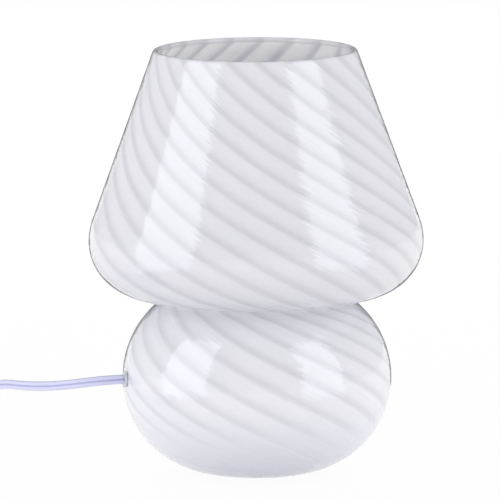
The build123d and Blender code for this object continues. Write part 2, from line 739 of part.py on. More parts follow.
# Inline switch. Its bottom lies on the table, and the cord runs in and out along Y.
WALL = 1.6
SPLIT_Z = 8.0
PIVOT_Z = 10.2
WINDOW_X = 6.2
WINDOW_Y = 10.0
ROCKER_X = 5.6
ROCKER_Y = 8.6
PIN_R = 1.0
SCREW_SPOTS = [(-7.0, 17.0), (7.0, -17.0)]


def switch_outline(inset):
    """Rounded plan of the housing, drawn about the switch's middle."""
    RectangleRounded(SWITCH_W - 2 * inset, SWITCH_L - 2 * inset, 6.0 - inset)


def switch_plane(z):
    """Level plane through the switch at height z."""
    return Plane(origin=(SWITCH_X, SWITCH_Y, z))


def neck_plane(end):
    """Plane across the cord's way out at one end of the switch."""
    return Plane(
        origin=(SWITCH_X, SWITCH_Y + end * (SWITCH_L / 2 - 1), SPLIT_Z),
        x_dir=(0, 0, 1),
        z_dir=(0, end, 0),
    )


with BuildPart() as switch_bottom:
    with BuildSketch(switch_plane(0)):
        switch_outline(0)
    extrude(amount=SPLIT_Z)
    fillet(switch_bottom.edges().group_by(Axis.Z)[0], 1.2)
    for end in (-1, 1):
        with BuildSketch(neck_plane(end)):
            RectangleRounded(9.0, 7.0, 2.0)
        extrude(amount=SWITCH_NECK_L + 1)
    with BuildSketch(switch_plane(SPLIT_Z)):
        Rectangle(SWITCH_W + 2, SWITCH_L + 4 * SWITCH_NECK_L)
    extrude(amount=SWITCH_H, mode=Mode.SUBTRACT)
    with BuildSketch(switch_plane(WALL)):
        switch_outline(WALL)
    extrude(amount=SWITCH_H, mode=Mode.SUBTRACT)
    for end in (-1, 1):
        with BuildSketch(neck_plane(end).offset(-WALL)):
            with Locations((SWITCH_CORD_Z - SPLIT_Z, 0)):
                Rectangle(CORD_W + 0.3, CORD_T + 0.3)
        extrude(amount=SWITCH_NECK_L + 4, mode=Mode.SUBTRACT)
    with BuildSketch(switch_plane(WALL)):
        with Locations(*SCREW_SPOTS):
            Circle(2.6)
    extrude(amount=SPLIT_Z - WALL)
    with BuildSketch(switch_plane(-1)):
        with Locations(*SCREW_SPOTS):
            Circle(1.2)
    extrude(amount=SWITCH_H, mode=Mode.SUBTRACT)
    with BuildSketch(switch_plane(-1)):
        with Locations(*SCREW_SPOTS):
            Circle(2.2)
    extrude(amount=1 + 2.4, mode=Mode.SUBTRACT)
save(switch_bottom, "switch_bottom")

with BuildPart() as switch_top:
    with BuildSketch(switch_plane(SPLIT_Z)):
        switch_outline(0)
    extrude(amount=SWITCH_H - SPLIT_Z)
    fillet(switch_top.edges().group_by(Axis.Z)[-1], 1.8)
    for end in (-1, 1):
        with BuildSketch(neck_plane(end)):
            RectangleRounded(9.0, 7.0, 2.0)
        extrude(amount=SWITCH_NECK_L + 1)
    with BuildSketch(switch_plane(0)):
        Rectangle(SWITCH_W + 2, SWITCH_L + 4 * SWITCH_NECK_L)
    extrude(amount=SPLIT_Z, mode=Mode.SUBTRACT)
    with BuildSketch(switch_plane(SPLIT_Z)):
        switch_outline(WALL)
    extrude(amount=SWITCH_H - SPLIT_Z - WALL, mode=Mode.SUBTRACT)
    for end in (-1, 1):
        with BuildSketch(neck_plane(end).offset(-WALL)):
            with Locations((SWITCH_CORD_Z - SPLIT_Z, 0)):
                Rectangle(CORD_W + 0.3, CORD_T + 0.3)
        extrude(amount=SWITCH_NECK_L + 4, mode=Mode.SUBTRACT)
    with BuildSketch(switch_plane(SPLIT_Z)):
        Rectangle(2 * WINDOW_X, 2 * WINDOW_Y)
    extrude(amount=SWITCH_H, mode=Mode.SUBTRACT)
    with BuildSketch(switch_plane(SPLIT_Z)):
        with Locations(*SCREW_SPOTS):
            Circle(2.6)
    extrude(amount=SWITCH_H - SPLIT_Z - WALL)
    with BuildSketch(switch_plane(SPLIT_Z)):
        with Locations(*SCREW_SPOTS):
            Circle(1.1)
    extrude(amount=4.5, mode=Mode.SUBTRACT)
    with BuildSketch(switch_plane(SPLIT_Z)):
        with Locations((-WINDOW_X - 1.6, 0), (WINDOW_X + 1.6, 0)):
            Rectangle(2.4, 5)
    extrude(amount=SWITCH_H - SPLIT_Z - WALL)
    pin_hole = Plane(origin=(SWITCH_X, SWITCH_Y, PIVOT_Z), x_dir=(0, 1, 0), z_dir=(1, 0, 0))
    with BuildSketch(pin_hole.offset(-SWITCH_W / 2 + WALL)):
        Circle(PIN_R)
    extrude(amount=SWITCH_W - 2 * WALL, mode=Mode.SUBTRACT)
save(switch_top, "switch_top")

with BuildPart() as switch_pin:
    with BuildSketch(pin_hole.offset(-WINDOW_X - 2.8)):
        Circle(PIN_R)
    extrude(amount=2 * WINDOW_X + 5.6)
save(switch_pin, "switch_pin")

# The rocker rests in its off position, turned by ROCKER_TILT about the pin.
rocker_plane = Plane(
    origin=(SWITCH_X, SWITCH_Y, PIVOT_Z),
    x_dir=(0, cos(radians(ROCKER_TILT)), sin(radians(ROCKER_TILT))),
    z_dir=(1, 0, 0),
)

with BuildPart() as switch_rocker:
    with BuildSketch(rocker_plane):
        with BuildLine():
            Polyline(
                (-ROCKER_Y, 3.4),
                (-ROCKER_Y, 6.6),
                (0, 5.4),
                (ROCKER_Y, 6.6),
                (ROCKER_Y, 3.4),
                (2.6, 1.6),
                (-2.6, 1.6),
                close=True,
            )
        make_face()
        Circle(2.6)
        Circle(PIN_R + 0.05, mode=Mode.SUBTRACT)
    extrude(amount=ROCKER_X, both=True)
    fillet(switch_rocker.edges().filter_by(Axis.X).group_by(Axis.Z)[-1], 0.5)
save(switch_rocker, "switch_rocker")

with BuildPart() as switch_contacts:
    for end in (-1, 1):
        with BuildSketch(pin_hole):
            with BuildLine():
                FilletPolyline(
                    (end * 15.0, WALL + 0.25 - PIVOT_Z),
                    (end * 7.5, WALL + 0.25 - PIVOT_Z),
                    (end * 5.0, 4.6 - PIVOT_Z),
                    radius=0.8,
                )
            trace(line_width=0.5)
        extrude(amount=2.5, both=True)
save(switch_contacts, "switch_contacts")

STUB_L = 9.0
STRAIGHT_CORE_R = 1.1

with BuildPart() as switch_wires:
    for end in (-1, 1):
        with BuildSketch(neck_plane(end).offset(SWITCH_NECK_L + 1 - STUB_L)):
            with Locations((SWITCH_CORD_Z - SPLIT_Z, 0)):
                SlotOverall(CORD_W, CORD_T)
        extrude(amount=STUB_L)
    with BuildSketch(neck_plane(1).offset(SWITCH_NECK_L + 1 - STUB_L)):
        with Locations((SWITCH_CORD_Z - CORD_T / 2 - SPLIT_Z, 0)):
            Circle(STRAIGHT_CORE_R)
    extrude(amount=2 * (STUB_L - SWITCH_NECK_L - SWITCH_L / 2))
save(switch_wires, "switch_wires")

with BuildPart() as switch_screws:
    with BuildSketch(switch_plane(0.4)):
        with Locations(*SCREW_SPOTS):
            Circle(2.1)
    extrude(amount=2.0)
    with BuildSketch(switch_plane(2.4)):
        with Locations(*SCREW_SPOTS):
            Circle(1.1)
    extrude(amount=9.5)
    with BuildSketch(switch_plane(0.4)):
        with Locations(*SCREW_SPOTS):
            Rectangle(3.0, 0.6)
            Rectangle(0.6, 3.0)
    extrude(amount=0.9, mode=Mode.SUBTRACT)
save(switch_screws, "switch_screws")

# ---------------------------------------------------------------- coil and plug
# Two layers wound flat, with the cord's width upright: in along the table, up by one layer
# during the innermost half turn, and out again on top. All half turns are half circles.
COIL_STEP = (CORD_T + COIL_TURN_GAP) / 2  # change of radius from one half turn to the next
COIL_RISE = CORD_W + COIL_TURN_GAP
COIL_Y = -54.0
COIL_LOW_Z = CORD_ON_TABLE
COIL_HIGH_Z = CORD_ON_TABLE + COIL_RISE
PLUG_CORD_Z = COIL_HIGH_Z
PLUG_START_Y = COIL_Y - 20.0
SWITCH_EXIT = Vector(SWITCH_X, SWITCH_Y - SWITCH_END, SWITCH_CORD_Z)

RUN_IN = [
    SWITCH_EXIT,
    SWITCH_EXIT + Vector(0, -8.0, 0),
    Vector(SWITCH_X, COIL_Y + 17.0, COIL_LOW_Z),
    Vector(SWITCH_X, COIL_Y, COIL_LOW_Z),
]


def coil_half_turns():
    """Start x, end x, radius, start z and end z of each half turn, from outside to outside."""
    turns = []
    x = SWITCH_X
    r = COIL_OUTER_R
    z = COIL_LOW_Z
    count = 2 * COIL_LAYER_HALF_TURNS
    for k in range(count):
        side = 1 if k % 2 == 0 else -1
        rise = COIL_RISE if k == COIL_LAYER_HALF_TURNS else 0.0
        turns.append((x, x + side * 2 * r, r, z, z + rise, side))
        x += side * 2 * r
        z += rise
        r += -COIL_STEP if k < COIL_LAYER_HALF_TURNS else COIL_STEP
    return turns


COIL_TURNS = coil_half_turns()

with BuildPart() as cord_coil:
    with BuildLine() as coil_path:
        FilletPolyline(*RUN_IN, radius=corner_radii(RUN_IN))
        for x0, x1, r, z0, z1, side in COIL_TURNS:
            middle = (x0 + x1) / 2
            if z0 == z1:
                ThreePointArc((x0, COIL_Y, z0), (middle, COIL_Y - side * r, z0), (x1, COIL_Y, z1))
            else:
                reach = hypot(r, (z1 - z0) / 2)
                halfway = (middle, COIL_Y - side * reach, (z0 + z1) / 2)
                quarter = TangentArc((x0, COIL_Y, z0), halfway, tangent=(0, -side, 0))
                TangentArc(halfway, (x1, COIL_Y, z1), tangent=quarter % 1)
        Line((SWITCH_X, COIL_Y, COIL_HIGH_Z), (SWITCH_X, PLUG_START_Y, PLUG_CORD_Z))
    with BuildSketch(cord_section(SWITCH_EXIT, Vector(0, -1, 0))):
        SlotOverall(CORD_W, CORD_T)
    coil_wire = coil_path.wires()[0]
    sweep(path=coil_wire, binormal=line_above(coil_wire))
save(cord_coil, "cord_coil")

PLUG_NECK_L = 10.0
PLUG_FACE_Y = PLUG_START_Y - PLUG_NECK_L - PLUG_L


def plug_plane(y):
    """Upright plane across the plug, looking along the cord's way out."""
    return Plane(origin=(SWITCH_X, y, PLUG_CORD_Z), x_dir=(1, 0, 0), z_dir=(0, -1, 0))


with BuildPart() as plug_body:
    with BuildSketch(plug_plane(PLUG_START_Y)):
        RectangleRounded(7.0, 9.0, 2.5)
    with BuildSketch(plug_plane(PLUG_START_Y - PLUG_NECK_L)):
        RectangleRounded(13.0, 12.0, 4.0)
    with BuildSketch(plug_plane(PLUG_START_Y - PLUG_NECK_L - 10.0)):
        RectangleRounded(PLUG_W, PLUG_H, 4.5)
    with BuildSketch(plug_plane(PLUG_FACE_Y)):
        RectangleRounded(PLUG_W, PLUG_H, 4.5)
    loft(ruled=True)
    fillet(plug_body.faces().sort_by(Axis.Y)[0].edges(), 1.0)
    with BuildSketch(plug_plane(PLUG_FACE_Y + 9.0)):
        with Locations((-BLADE_GAP / 2, 0), (BLADE_GAP / 2, 0)):
            Rectangle(BLADE_T, BLADE_W)
    extrude(amount=12, mode=Mode.SUBTRACT)
save(plug_body, "plug_body")

with BuildPart() as plug_blades:
    with BuildSketch(plug_plane(PLUG_FACE_Y + 9.0)):
        with Locations((-BLADE_GAP / 2, 0), (BLADE_GAP / 2, 0)):
            Rectangle(BLADE_T, BLADE_W)
    extrude(amount=9.0 + BLADE_L)
    chamfer(plug_blades.edges().group_by(Axis.Y)[0].filter_by(Axis.Z), 0.5)
save(plug_blades, "plug_blades")

# ---------------------------------------------------------------- what the route measures
SECTION_AREA = (CORD_W - CORD_T) * CORD_T + pi * CORD_T**2 / 4


def report(name, builder, wire, radii):
    """Print a cord piece's radii, length, and volume against section times length."""
    length = wire.length
    print(name, "radii", [round(r, 1) for r in radii], "length", round(length, 1))
    print(name, "volume / (section x length)", round(builder.part.volume / (SECTION_AREA * length), 4))


def coil_gap():
    """Least gap between stretches of the coil that aren't neighbours along it."""
    step = 2.0
    count = int(coil_wire.length / step)
    points = [coil_wire @ (k / count) for k in range(count + 1)]
    least = 1e9
    apart = int(30 / step)
    for i, p in enumerate(points):
        for q in points[i + apart:]:
            level = hypot(p.X - q.X, p.Y - q.Y) - CORD_T
            upright = abs(p.Z - q.Z) - CORD_W
            gap = max(level, upright) if level < 0 or upright < 0 else hypot(level, upright)
            least = min(least, gap)
    return least


report("inner_cord", inner_cord, inner_path.wires()[0], INNER_RADII)
report("cord_lead", cord_lead, lead_wire, LEAD_RADII)
report("cord_coil", cord_coil, coil_wire, [t[2] for t in COIL_TURNS])
print("least gap of the coil to itself", round(coil_gap(), 2), "mm")
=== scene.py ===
"""Mushroom table lamp in swirled opal glass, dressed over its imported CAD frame."""

from math import asin, atan2, ceil, cos, exp, hypot, pi, radians, sin, sqrt, tan

import bmesh
import bpy
from mathutils import Matrix, Vector


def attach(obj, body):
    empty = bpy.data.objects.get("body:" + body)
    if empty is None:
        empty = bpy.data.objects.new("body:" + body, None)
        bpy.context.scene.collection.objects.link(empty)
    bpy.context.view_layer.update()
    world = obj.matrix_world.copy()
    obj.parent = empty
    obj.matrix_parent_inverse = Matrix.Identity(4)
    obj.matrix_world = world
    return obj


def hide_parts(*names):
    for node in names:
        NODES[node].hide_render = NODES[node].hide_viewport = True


bl_info = {
    "name": "Swirled glass table lamp",
    "version": (1, 0, 0),
    "blender": (4, 5, 0),
    "location": "3D View > Sidebar > Lamp",
    "description": "Builds the glass, cord, finishes and studio of a mushroom table lamp",
    "category": "Object",
}

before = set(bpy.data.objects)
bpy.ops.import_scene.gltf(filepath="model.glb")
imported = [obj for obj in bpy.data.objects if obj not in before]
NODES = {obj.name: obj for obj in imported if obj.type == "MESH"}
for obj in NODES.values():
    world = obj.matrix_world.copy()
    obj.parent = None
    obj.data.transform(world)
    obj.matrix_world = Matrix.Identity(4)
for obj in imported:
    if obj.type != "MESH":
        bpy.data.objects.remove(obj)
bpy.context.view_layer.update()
MM = 0.001


# ---------------------------------------------------------------- colours and nodes
def srgb(code):
    """An sRGB hex colour as linear red, green, blue and alpha."""
    parts = [int(code[k : k + 2], 16) / 255 for k in (1, 3, 5)]
    linear = [c / 12.92 if c <= 0.04045 else ((c + 0.055) / 1.055) ** 2.4 for c in parts]
    return (*linear, 1.0)


def add_node(tree, kind, inputs=None, **settings):
    """Add a node. inputs maps a socket's name or number to a value or to a socket to link."""
    node = tree.nodes.new(kind)
    for key, value in settings.items():
        setattr(node, key, value)
    for key, value in (inputs or {}).items():
        if isinstance(value, bpy.types.NodeSocket):
            tree.links.new(value, node.inputs[key])
        else:
            node.inputs[key].default_value = value
    return node


def bare_material(name):
    """A material with an empty node tree."""
    material = bpy.data.materials.new(name)
    material.use_nodes = True
    material.node_tree.nodes.clear()
    return material, material.node_tree


def new_material(name):
    """A material with a Principled shader, whose sockets the caller fills."""
    material, tree = bare_material(name)
    shader = add_node(tree, "ShaderNodeBsdfPrincipled")
    add_node(tree, "ShaderNodeOutputMaterial", {"Surface": shader.outputs[0]})
    return material, tree, shader


def set_ramp(ramp, stops):
    """Fill a Color Ramp node with (position, hex colour or plain level) stops."""
    elements = ramp.color_ramp.elements
    while len(elements) > 1:
        elements.remove(elements[-1])
    for number, (position, level) in enumerate(stops):
        stop = elements.new(position) if number else elements[0]
        stop.position = position
        stop.color = srgb(level) if isinstance(level, str) else (level, level, level, 1.0)


def finish(
    name, light, dark, grain_mm, rough, bump_mm, stretch=(1, 1, 1), metallic=0.0, **sockets
):
    """A finish whose colour, roughness and height vary together over grains of grain_mm.

    light and dark are its hex colours, rough its (lowest, highest) roughness, and stretch
    draws the grain out along an axis where that axis's number is below 1.
    """
    material, tree, shader = new_material(name)
    place = add_node(tree, "ShaderNodeTexCoord")
    drawn = add_node(
        tree, "ShaderNodeMapping", {"Vector": place.outputs["Object"], "Scale": stretch}
    )
    grain = add_node(
        tree,
        "ShaderNodeTexNoise",
        {"Vector": drawn.outputs[0], "Scale": 1 / (grain_mm * MM), "Detail": 3.0},
    )
    ramp = add_node(tree, "ShaderNodeValToRGB", {"Fac": grain.outputs["Fac"]})
    set_ramp(ramp, [(0.35, dark), (0.65, light)])
    spread = add_node(
        tree,
        "ShaderNodeMapRange",
        {"Value": grain.outputs["Fac"], "To Min": rough[0], "To Max": rough[1]},
    )
    relief = add_node(
        tree,
        "ShaderNodeBump",
        {"Height": grain.outputs["Fac"], "Distance": bump_mm * MM, "Strength": 1.0},
    )
    tree.links.new(ramp.outputs["Color"], shader.inputs["Base Color"])
    tree.links.new(spread.outputs[0], shader.inputs["Roughness"])
    tree.links.new(relief.outputs[0], shader.inputs["Normal"])
    shader.inputs["Metallic"].default_value = metallic
    for socket, value in sockets.items():
        shader.inputs[socket.replace("_", " ")].default_value = value
    return material


def dress(material, slot, *names):
    """Give CAD nodes a material in every slot. The slot argument is not used."""
    for name in names:
        node = NODES[name]
        node.data.materials.clear()
        node.data.materials.append(material)


def smooth(mesh):
    """Shade a mesh smooth all over."""
    mesh.polygons.foreach_set("use_smooth", [True] * len(mesh.polygons))


def new_object(name, mesh, material):
    """Link a mesh into the scene as an object with one material."""
    made = bpy.data.objects.new(name, mesh)
    mesh.materials.append(material)
    bpy.context.scene.collection.objects.link(made)
    return made


# ---------------------------------------------------------------- what a user would change
class LampSizes(bpy.types.PropertyGroup):
    """Sizes of what is drawn over the frame."""

    lines: bpy.props.IntProperty(
        name="Lines", description="Grey lines wound round the glass", default=21, min=6, max=48
    )
    crowding: bpy.props.FloatProperty(
        name="Crowding", description="How far the lines bunch up on one side", default=3.97
    )
    crowded_at: bpy.props.FloatProperty(
        name="Crowded at",
        description="Turn of the bunched side from the front, at the rim",
        default=radians(-67.8),
        subtype="ANGLE",
    )
    rib: bpy.props.FloatProperty(
        name="Rib",
        description="How far the glass swells between two lines",
        default=0.08 * MM,
        unit="LENGTH",
    )
    core_radius: bpy.props.FloatProperty(
        name="Core radius",
        description="Radius of each of the cord's two cores",
        default=1.3 * MM,
        unit="LENGTH",
    )
    web: bpy.props.FloatProperty(
        name="Web",
        description="Thickness of the cord in the groove between its cores",
        default=1.1 * MM,
        unit="LENGTH",
    )


class LampColours(bpy.types.PropertyGroup):
    """Colours of the glass and the cord."""

    band: bpy.props.FloatVectorProperty(
        name="Band",
        description="Milk-white bands of the glass",
        subtype="COLOR",
        size=4,
        min=0.0,
        max=1.0,
        default=srgb("#F6F6FB"),
    )
    line: bpy.props.FloatVectorProperty(
        name="Line",
        description="Thin grey lines between the bands",
        subtype="COLOR",
        size=4,
        min=0.0,
        max=1.0,
        default=srgb("#E3E3E8"),
    )
    cord: bpy.props.FloatVectorProperty(
        name="Cord",
        description="Insulation of the flat cord",
        subtype="COLOR",
        size=4,
        min=0.0,
        max=1.0,
        default=srgb("#DEDFFA"),
    )


# ---------------------------------------------------------------- the glass's own shape
# The same arcs as the frame's glass, in millimetres.
TOTAL_H, GLASS_T, PAD_T = 236.0, 3.8, 1.2
SHADE_R, SHADE_WIDE_Z, SHADE_TILT = 92.5, 130.0, radians(20.0)
SHOULDER_R, CURL_R, WAIST_FILLET = 33.6, 29.5, 3.0
BASE_R, BASE_WIDE_Z, BELLY_R = 74.5, 53.0, 54.3
UNDER_R = BASE_WIDE_Z - PAD_T
SHOULDER_C = (SHADE_R - SHOULDER_R, SHADE_WIDE_Z)
CURL_C = (SHADE_R - CURL_R, SHADE_WIDE_Z)
BELLY_C = (BASE_R - BELLY_R, BASE_WIDE_Z)
UNDER_C = (BASE_R - UNDER_R, BASE_WIDE_Z)
HOLE_Z, HOLE_TURN, HOLE_R = 55.5, radians(14.0), 3.6
HOLE_DIR = Vector((-cos(HOLE_TURN), -sin(HOLE_TURN), 0))
HOLE_FACE_R = UNDER_C[0] + UNDER_R
JOIN_R = HOLE_FACE_R - GLASS_T / 2
DRILL_LENGTH, DRILL_SEGMENTS = 14.0, 48

# The lines' turn round the axis on their way down: degrees at the rim, and degrees per
# millimetre of wall on the shade and on the base. Below the waist they turn a little more
# within 8 mm, and under the base they straighten out over 12 mm.
TURN_AT_RIM, SHADE_TURN, BASE_TURN = -4.65, 1.06, 1.42
WAIST_TURN, WAIST_TURN_OVER = 3.6, 8.0
FOOT_Z, UNWIND_OVER = 16.0, 12.0

# The mesh: columns from one line to the next, and millimetres between its rows on the outer
# face, the inner face and the waist. V_PER_MM turns the way along the wall into the UV's v.
COLUMNS_PER_LINE = 10
OUTER_STEP, INNER_STEP, WAIST_STEP = 1.5, 2.6, 0.8
LIP_ROWS = 10
V_PER_MM = 0.0025

# The ribs start over the first 6 mm below the rim and end in the base's inner 30 mm. Their
# mean height is two thirds of the rib, which keeps the mesh on the frame's own face. On the
# inner face they are fainter.
RIB_STARTS_OVER, RIB_ENDS_WITHIN, MEAN_SWELL, INNER_SHARE = 6.0, 30.0, 0.67, 0.35

# How dark a line is across its band, from one line to the next.
LINE_PROFILE = [
    (0.0, 1.0),
    (0.06, 0.94),
    (0.12, 0.74),
    (0.18, 0.52),
    (0.24, 0.34),
    (0.32, 0.18),
    (0.42, 0.07),
    (0.54, 0.0),
    (0.75, 0.0),
    (0.80, 0.08),
    (0.85, 0.34),
    (0.90, 0.76),
    (0.94, 0.96),
    (1.0, 1.0),
]

# Painted shade along the outer face, by millimetres of wall below the rim: a little darker near the
# rim, darkest round the curl, white on the base, and darker and bluer at the foot, standing in for
# how light falls.
PAINTED_SHADE_TONES = [
    (0.0, "#F5F5F5"),
    (60.0, "#F9F9F9"),
    (100.0, "#F7F7F7"),
    (135.0, "#EDEDED"),
    (155.0, "#EAEAEA"),
    (180.0, "#FFFFFF"),
    (230.0, "#FFFFFF"),
    (262.0, "#F4F4F8"),
    (300.0, "#F0F0FA"),
]


def outer_meeting(c1, r1, c2, r2):
    """The outer of the two points at distance r1 from c1 and r2 from c2."""
    dx, dz = c2[0] - c1[0], c2[1] - c1[1]
    d = hypot(dx, dz)
    along = (r1 * r1 - r2 * r2 + d * d) / (2 * d)
    off = sqrt(r1 * r1 - along * along)
    return (c1[0] + (along * dx - off * dz) / d, c1[1] + (along * dz + off * dx) / d)


WAIST_C = outer_meeting(CURL_C, CURL_R + WAIST_FILLET, BELLY_C, BELLY_R + WAIST_FILLET)
CURL_END = atan2(WAIST_C[1] - CURL_C[1], WAIST_C[0] - CURL_C[0])
BELLY_START = atan2(WAIST_C[1] - BELLY_C[1], WAIST_C[0] - BELLY_C[0])


def arc_rows(centre, r, start, end, step):
    """Points and outward normals along an arc, about step apart, without its first point."""
    count = max(2, ceil(abs(end - start) * r / step))
    rows = []
    for k in range(1, count + 1):
        a = start + (end - start) * k / count
        rows.append((centre[0] + r * cos(a), centre[1] + r * sin(a), cos(a), sin(a)))
    return rows


def wall_rows(inset, step):
    """One face of the wall from the rim to the axis: (r, z, normal r, normal z, s) in mm.

    s is the way along the outer face from the rim, the same for both faces of the wall.
    """
    tilt = (cos(SHADE_TILT), sin(SHADE_TILT))
    top = TOTAL_H - GLASS_T / 2
    mid = SHOULDER_R - GLASS_T / 2
    mid_start = (SHOULDER_C[0] + mid * tilt[0], SHOULDER_C[1] + mid * tilt[1])
    side = (top - mid_start[1]) / cos(SHADE_TILT)
    lip = (mid_start[0] - (top - mid_start[1]) * tan(SHADE_TILT), top)
    off = GLASS_T / 2 - inset
    rows = []
    count = ceil(side / step)
    for k in range(count + 1):
        t = k / count
        r = lip[0] + (mid_start[0] - lip[0]) * t + off * tilt[0]
        z = lip[1] + (mid_start[1] - lip[1]) * t + off * tilt[1]
        rows.append((r, z, *tilt, side * t))
    s = side
    legs = (
        (SHOULDER_C, SHOULDER_R, SHADE_TILT, 0.0, False),
        (CURL_C, CURL_R, 0.0, CURL_END, False),
        (WAIST_C, WAIST_FILLET, CURL_END + pi, BELLY_START - pi, True),
        (BELLY_C, BELLY_R, BELLY_START, 0.0, False),
        (UNDER_C, UNDER_R, 0.0, -pi / 2, False),
    )
    for centre, radius, start, end, hollow in legs:
        if hollow:
            end += 2 * pi
        r = radius + inset if hollow else radius - inset
        arc = arc_rows(centre, r, start, end, WAIST_STEP if hollow else step)
        length = abs(end - start) * radius
        flip = -1 if hollow else 1
        for k, (x, z, nx, nz) in enumerate(arc):
            rows.append((x, z, flip * nx, flip * nz, s + length * (k + 1) / len(arc)))
        s += length
    floor_z = PAD_T + inset
    count = ceil(UNDER_C[0] / step)
    for k in range(1, count):
        rows.append((UNDER_C[0] * (1 - k / count), floor_z, 0.0, -1.0, s + UNDER_C[0] * k / count))
    return rows


WAIST_S = next(row[4] for row in wall_rows(0, OUTER_STEP) if row[1] < WAIST_C[1])
FOOT_S = next(row[4] for row in wall_rows(0, OUTER_STEP) if row[1] < FOOT_Z)
FADE_FROM_S, FADE_TO_S = WAIST_S + 58.0, WAIST_S + 88.0


def line_turn(s):
    """Angle in radians by which the lines have turned at s millimetres below the rim."""
    turn = TURN_AT_RIM + SHADE_TURN * min(s, WAIST_S)
    if s > WAIST_S:
        turn += BASE_TURN * (min(s, FOOT_S) - WAIST_S)
        turn += WAIST_TURN * min(1.0, (s - WAIST_S) / WAIST_TURN_OVER)
    if s > FOOT_S:
        turn += BASE_TURN * UNWIND_OVER * (1 - exp(-(s - FOOT_S) / UNWIND_OVER))
    return radians(turn)


def column_angles(sizes):
    """Where each column of the mesh starts: evenly spaced in the count of lines.

    The lines crowd together on one side, so each angle is found by Newton's method.
    """
    angles = []
    count = sizes.lines * COLUMNS_PER_LINE
    for k in range(count):
        want = 2 * pi * k / COLUMNS_PER_LINE
        m = want / sizes.lines
        for _ in range(12):
            have = sizes.lines * m + sizes.crowding * sin(m - sizes.crowded_at)
            slope = sizes.lines + sizes.crowding * cos(m - sizes.crowded_at)
            m -= (have - want) / slope
        angles.append(m)
    return angles


def swell(column):
    """How far the band stands proud here, 0 at a line and 1 in the middle of a band."""
    t = (column % COLUMNS_PER_LINE) / COLUMNS_PER_LINE
    return 1 - (2 * t - 1) ** 2


def blown_glass_mesh(sizes):
    """The one-piece glass, its mesh laid along the lines so that each rib's crease is crisp."""
    outer = wall_rows(0.0, OUTER_STEP)
    inner = wall_rows(GLASS_T, INNER_STEP)
    first, last = inner[0], outer[0]
    lip_c = ((first[0] + last[0]) / 2, (first[1] + last[1]) / 2)
    start = atan2(first[1] - lip_c[1], first[0] - lip_c[0])
    lip = []
    for k in range(1, LIP_ROWS):
        a = start - pi * k / LIP_ROWS
        lip.append((lip_c[0] + GLASS_T / 2 * cos(a), lip_c[1] + GLASS_T / 2 * sin(a), 0, 0, 0.0))
    # Each row, its share of the ribs, and the sign of its v: the inner face has negative v.
    rows = [(row, INNER_SHARE, -1) for row in reversed(inner)] + [(row, 0.0, 1) for row in lip]
    rows += [(row, 1.0, 1) for row in outer]
    columns = column_angles(sizes)
    bm = bmesh.new()
    uv = bm.loops.layers.uv.new("swirl")
    rings = []
    for (r, z, nr, nz, s), share, _ in rows:
        turn = line_turn(s)
        fade = share * min(1.0, s / RIB_STARTS_OVER) * min(1.0, r / RIB_ENDS_WITHIN)
        ring = []
        for k, m in enumerate(columns):
            out = sizes.rib / MM * (swell(k) - MEAN_SWELL) * fade
            x, up = r + out * nr, z + out * nz
            a = m + turn
            ring.append(bm.verts.new((x * sin(a) * MM, -x * cos(a) * MM, up * MM)))
        rings.append(ring)
    top_pole = bm.verts.new((0, 0, (PAD_T + GLASS_T) * MM))
    low_pole = bm.verts.new((0, 0, PAD_T * MM))
    n = len(columns)

    def put(face, marks):
        for loop, mark in zip(face.loops, marks):
            loop[uv].uv = mark

    for i in range(len(rings) - 1):
        low, high = rings[i], rings[i + 1]
        v0, v1 = (row[0][4] * row[2] * V_PER_MM for row in rows[i : i + 2])
        for k in range(n):
            j = (k + 1) % n
            u0, u1 = k / COLUMNS_PER_LINE, (k + 1) / COLUMNS_PER_LINE
            face = bm.faces.new((low[k], low[j], high[j], high[k]))
            put(face, ((u0, v0), (u1, v0), (u1, v1), (u0, v1)))
    for k in range(n):
        j = (k + 1) % n
        u0, u1 = k / COLUMNS_PER_LINE, (k + 1) / COLUMNS_PER_LINE
        v0, v1 = -rows[0][0][4] * V_PER_MM, rows[-1][0][4] * V_PER_MM
        put(bm.faces.new((rings[0][j], rings[0][k], top_pole)), ((u1, v0), (u0, v0), (u0, v0)))
        put(bm.faces.new((rings[-1][k], rings[-1][j], low_pole)), ((u0, v1), (u1, v1), (u0, v1)))
    bmesh.ops.recalc_face_normals(bm, faces=bm.faces)
    mesh = bpy.data.meshes.new("blown_glass")
    bm.to_mesh(mesh)
    bm.free()
    smooth(mesh)
    return mesh


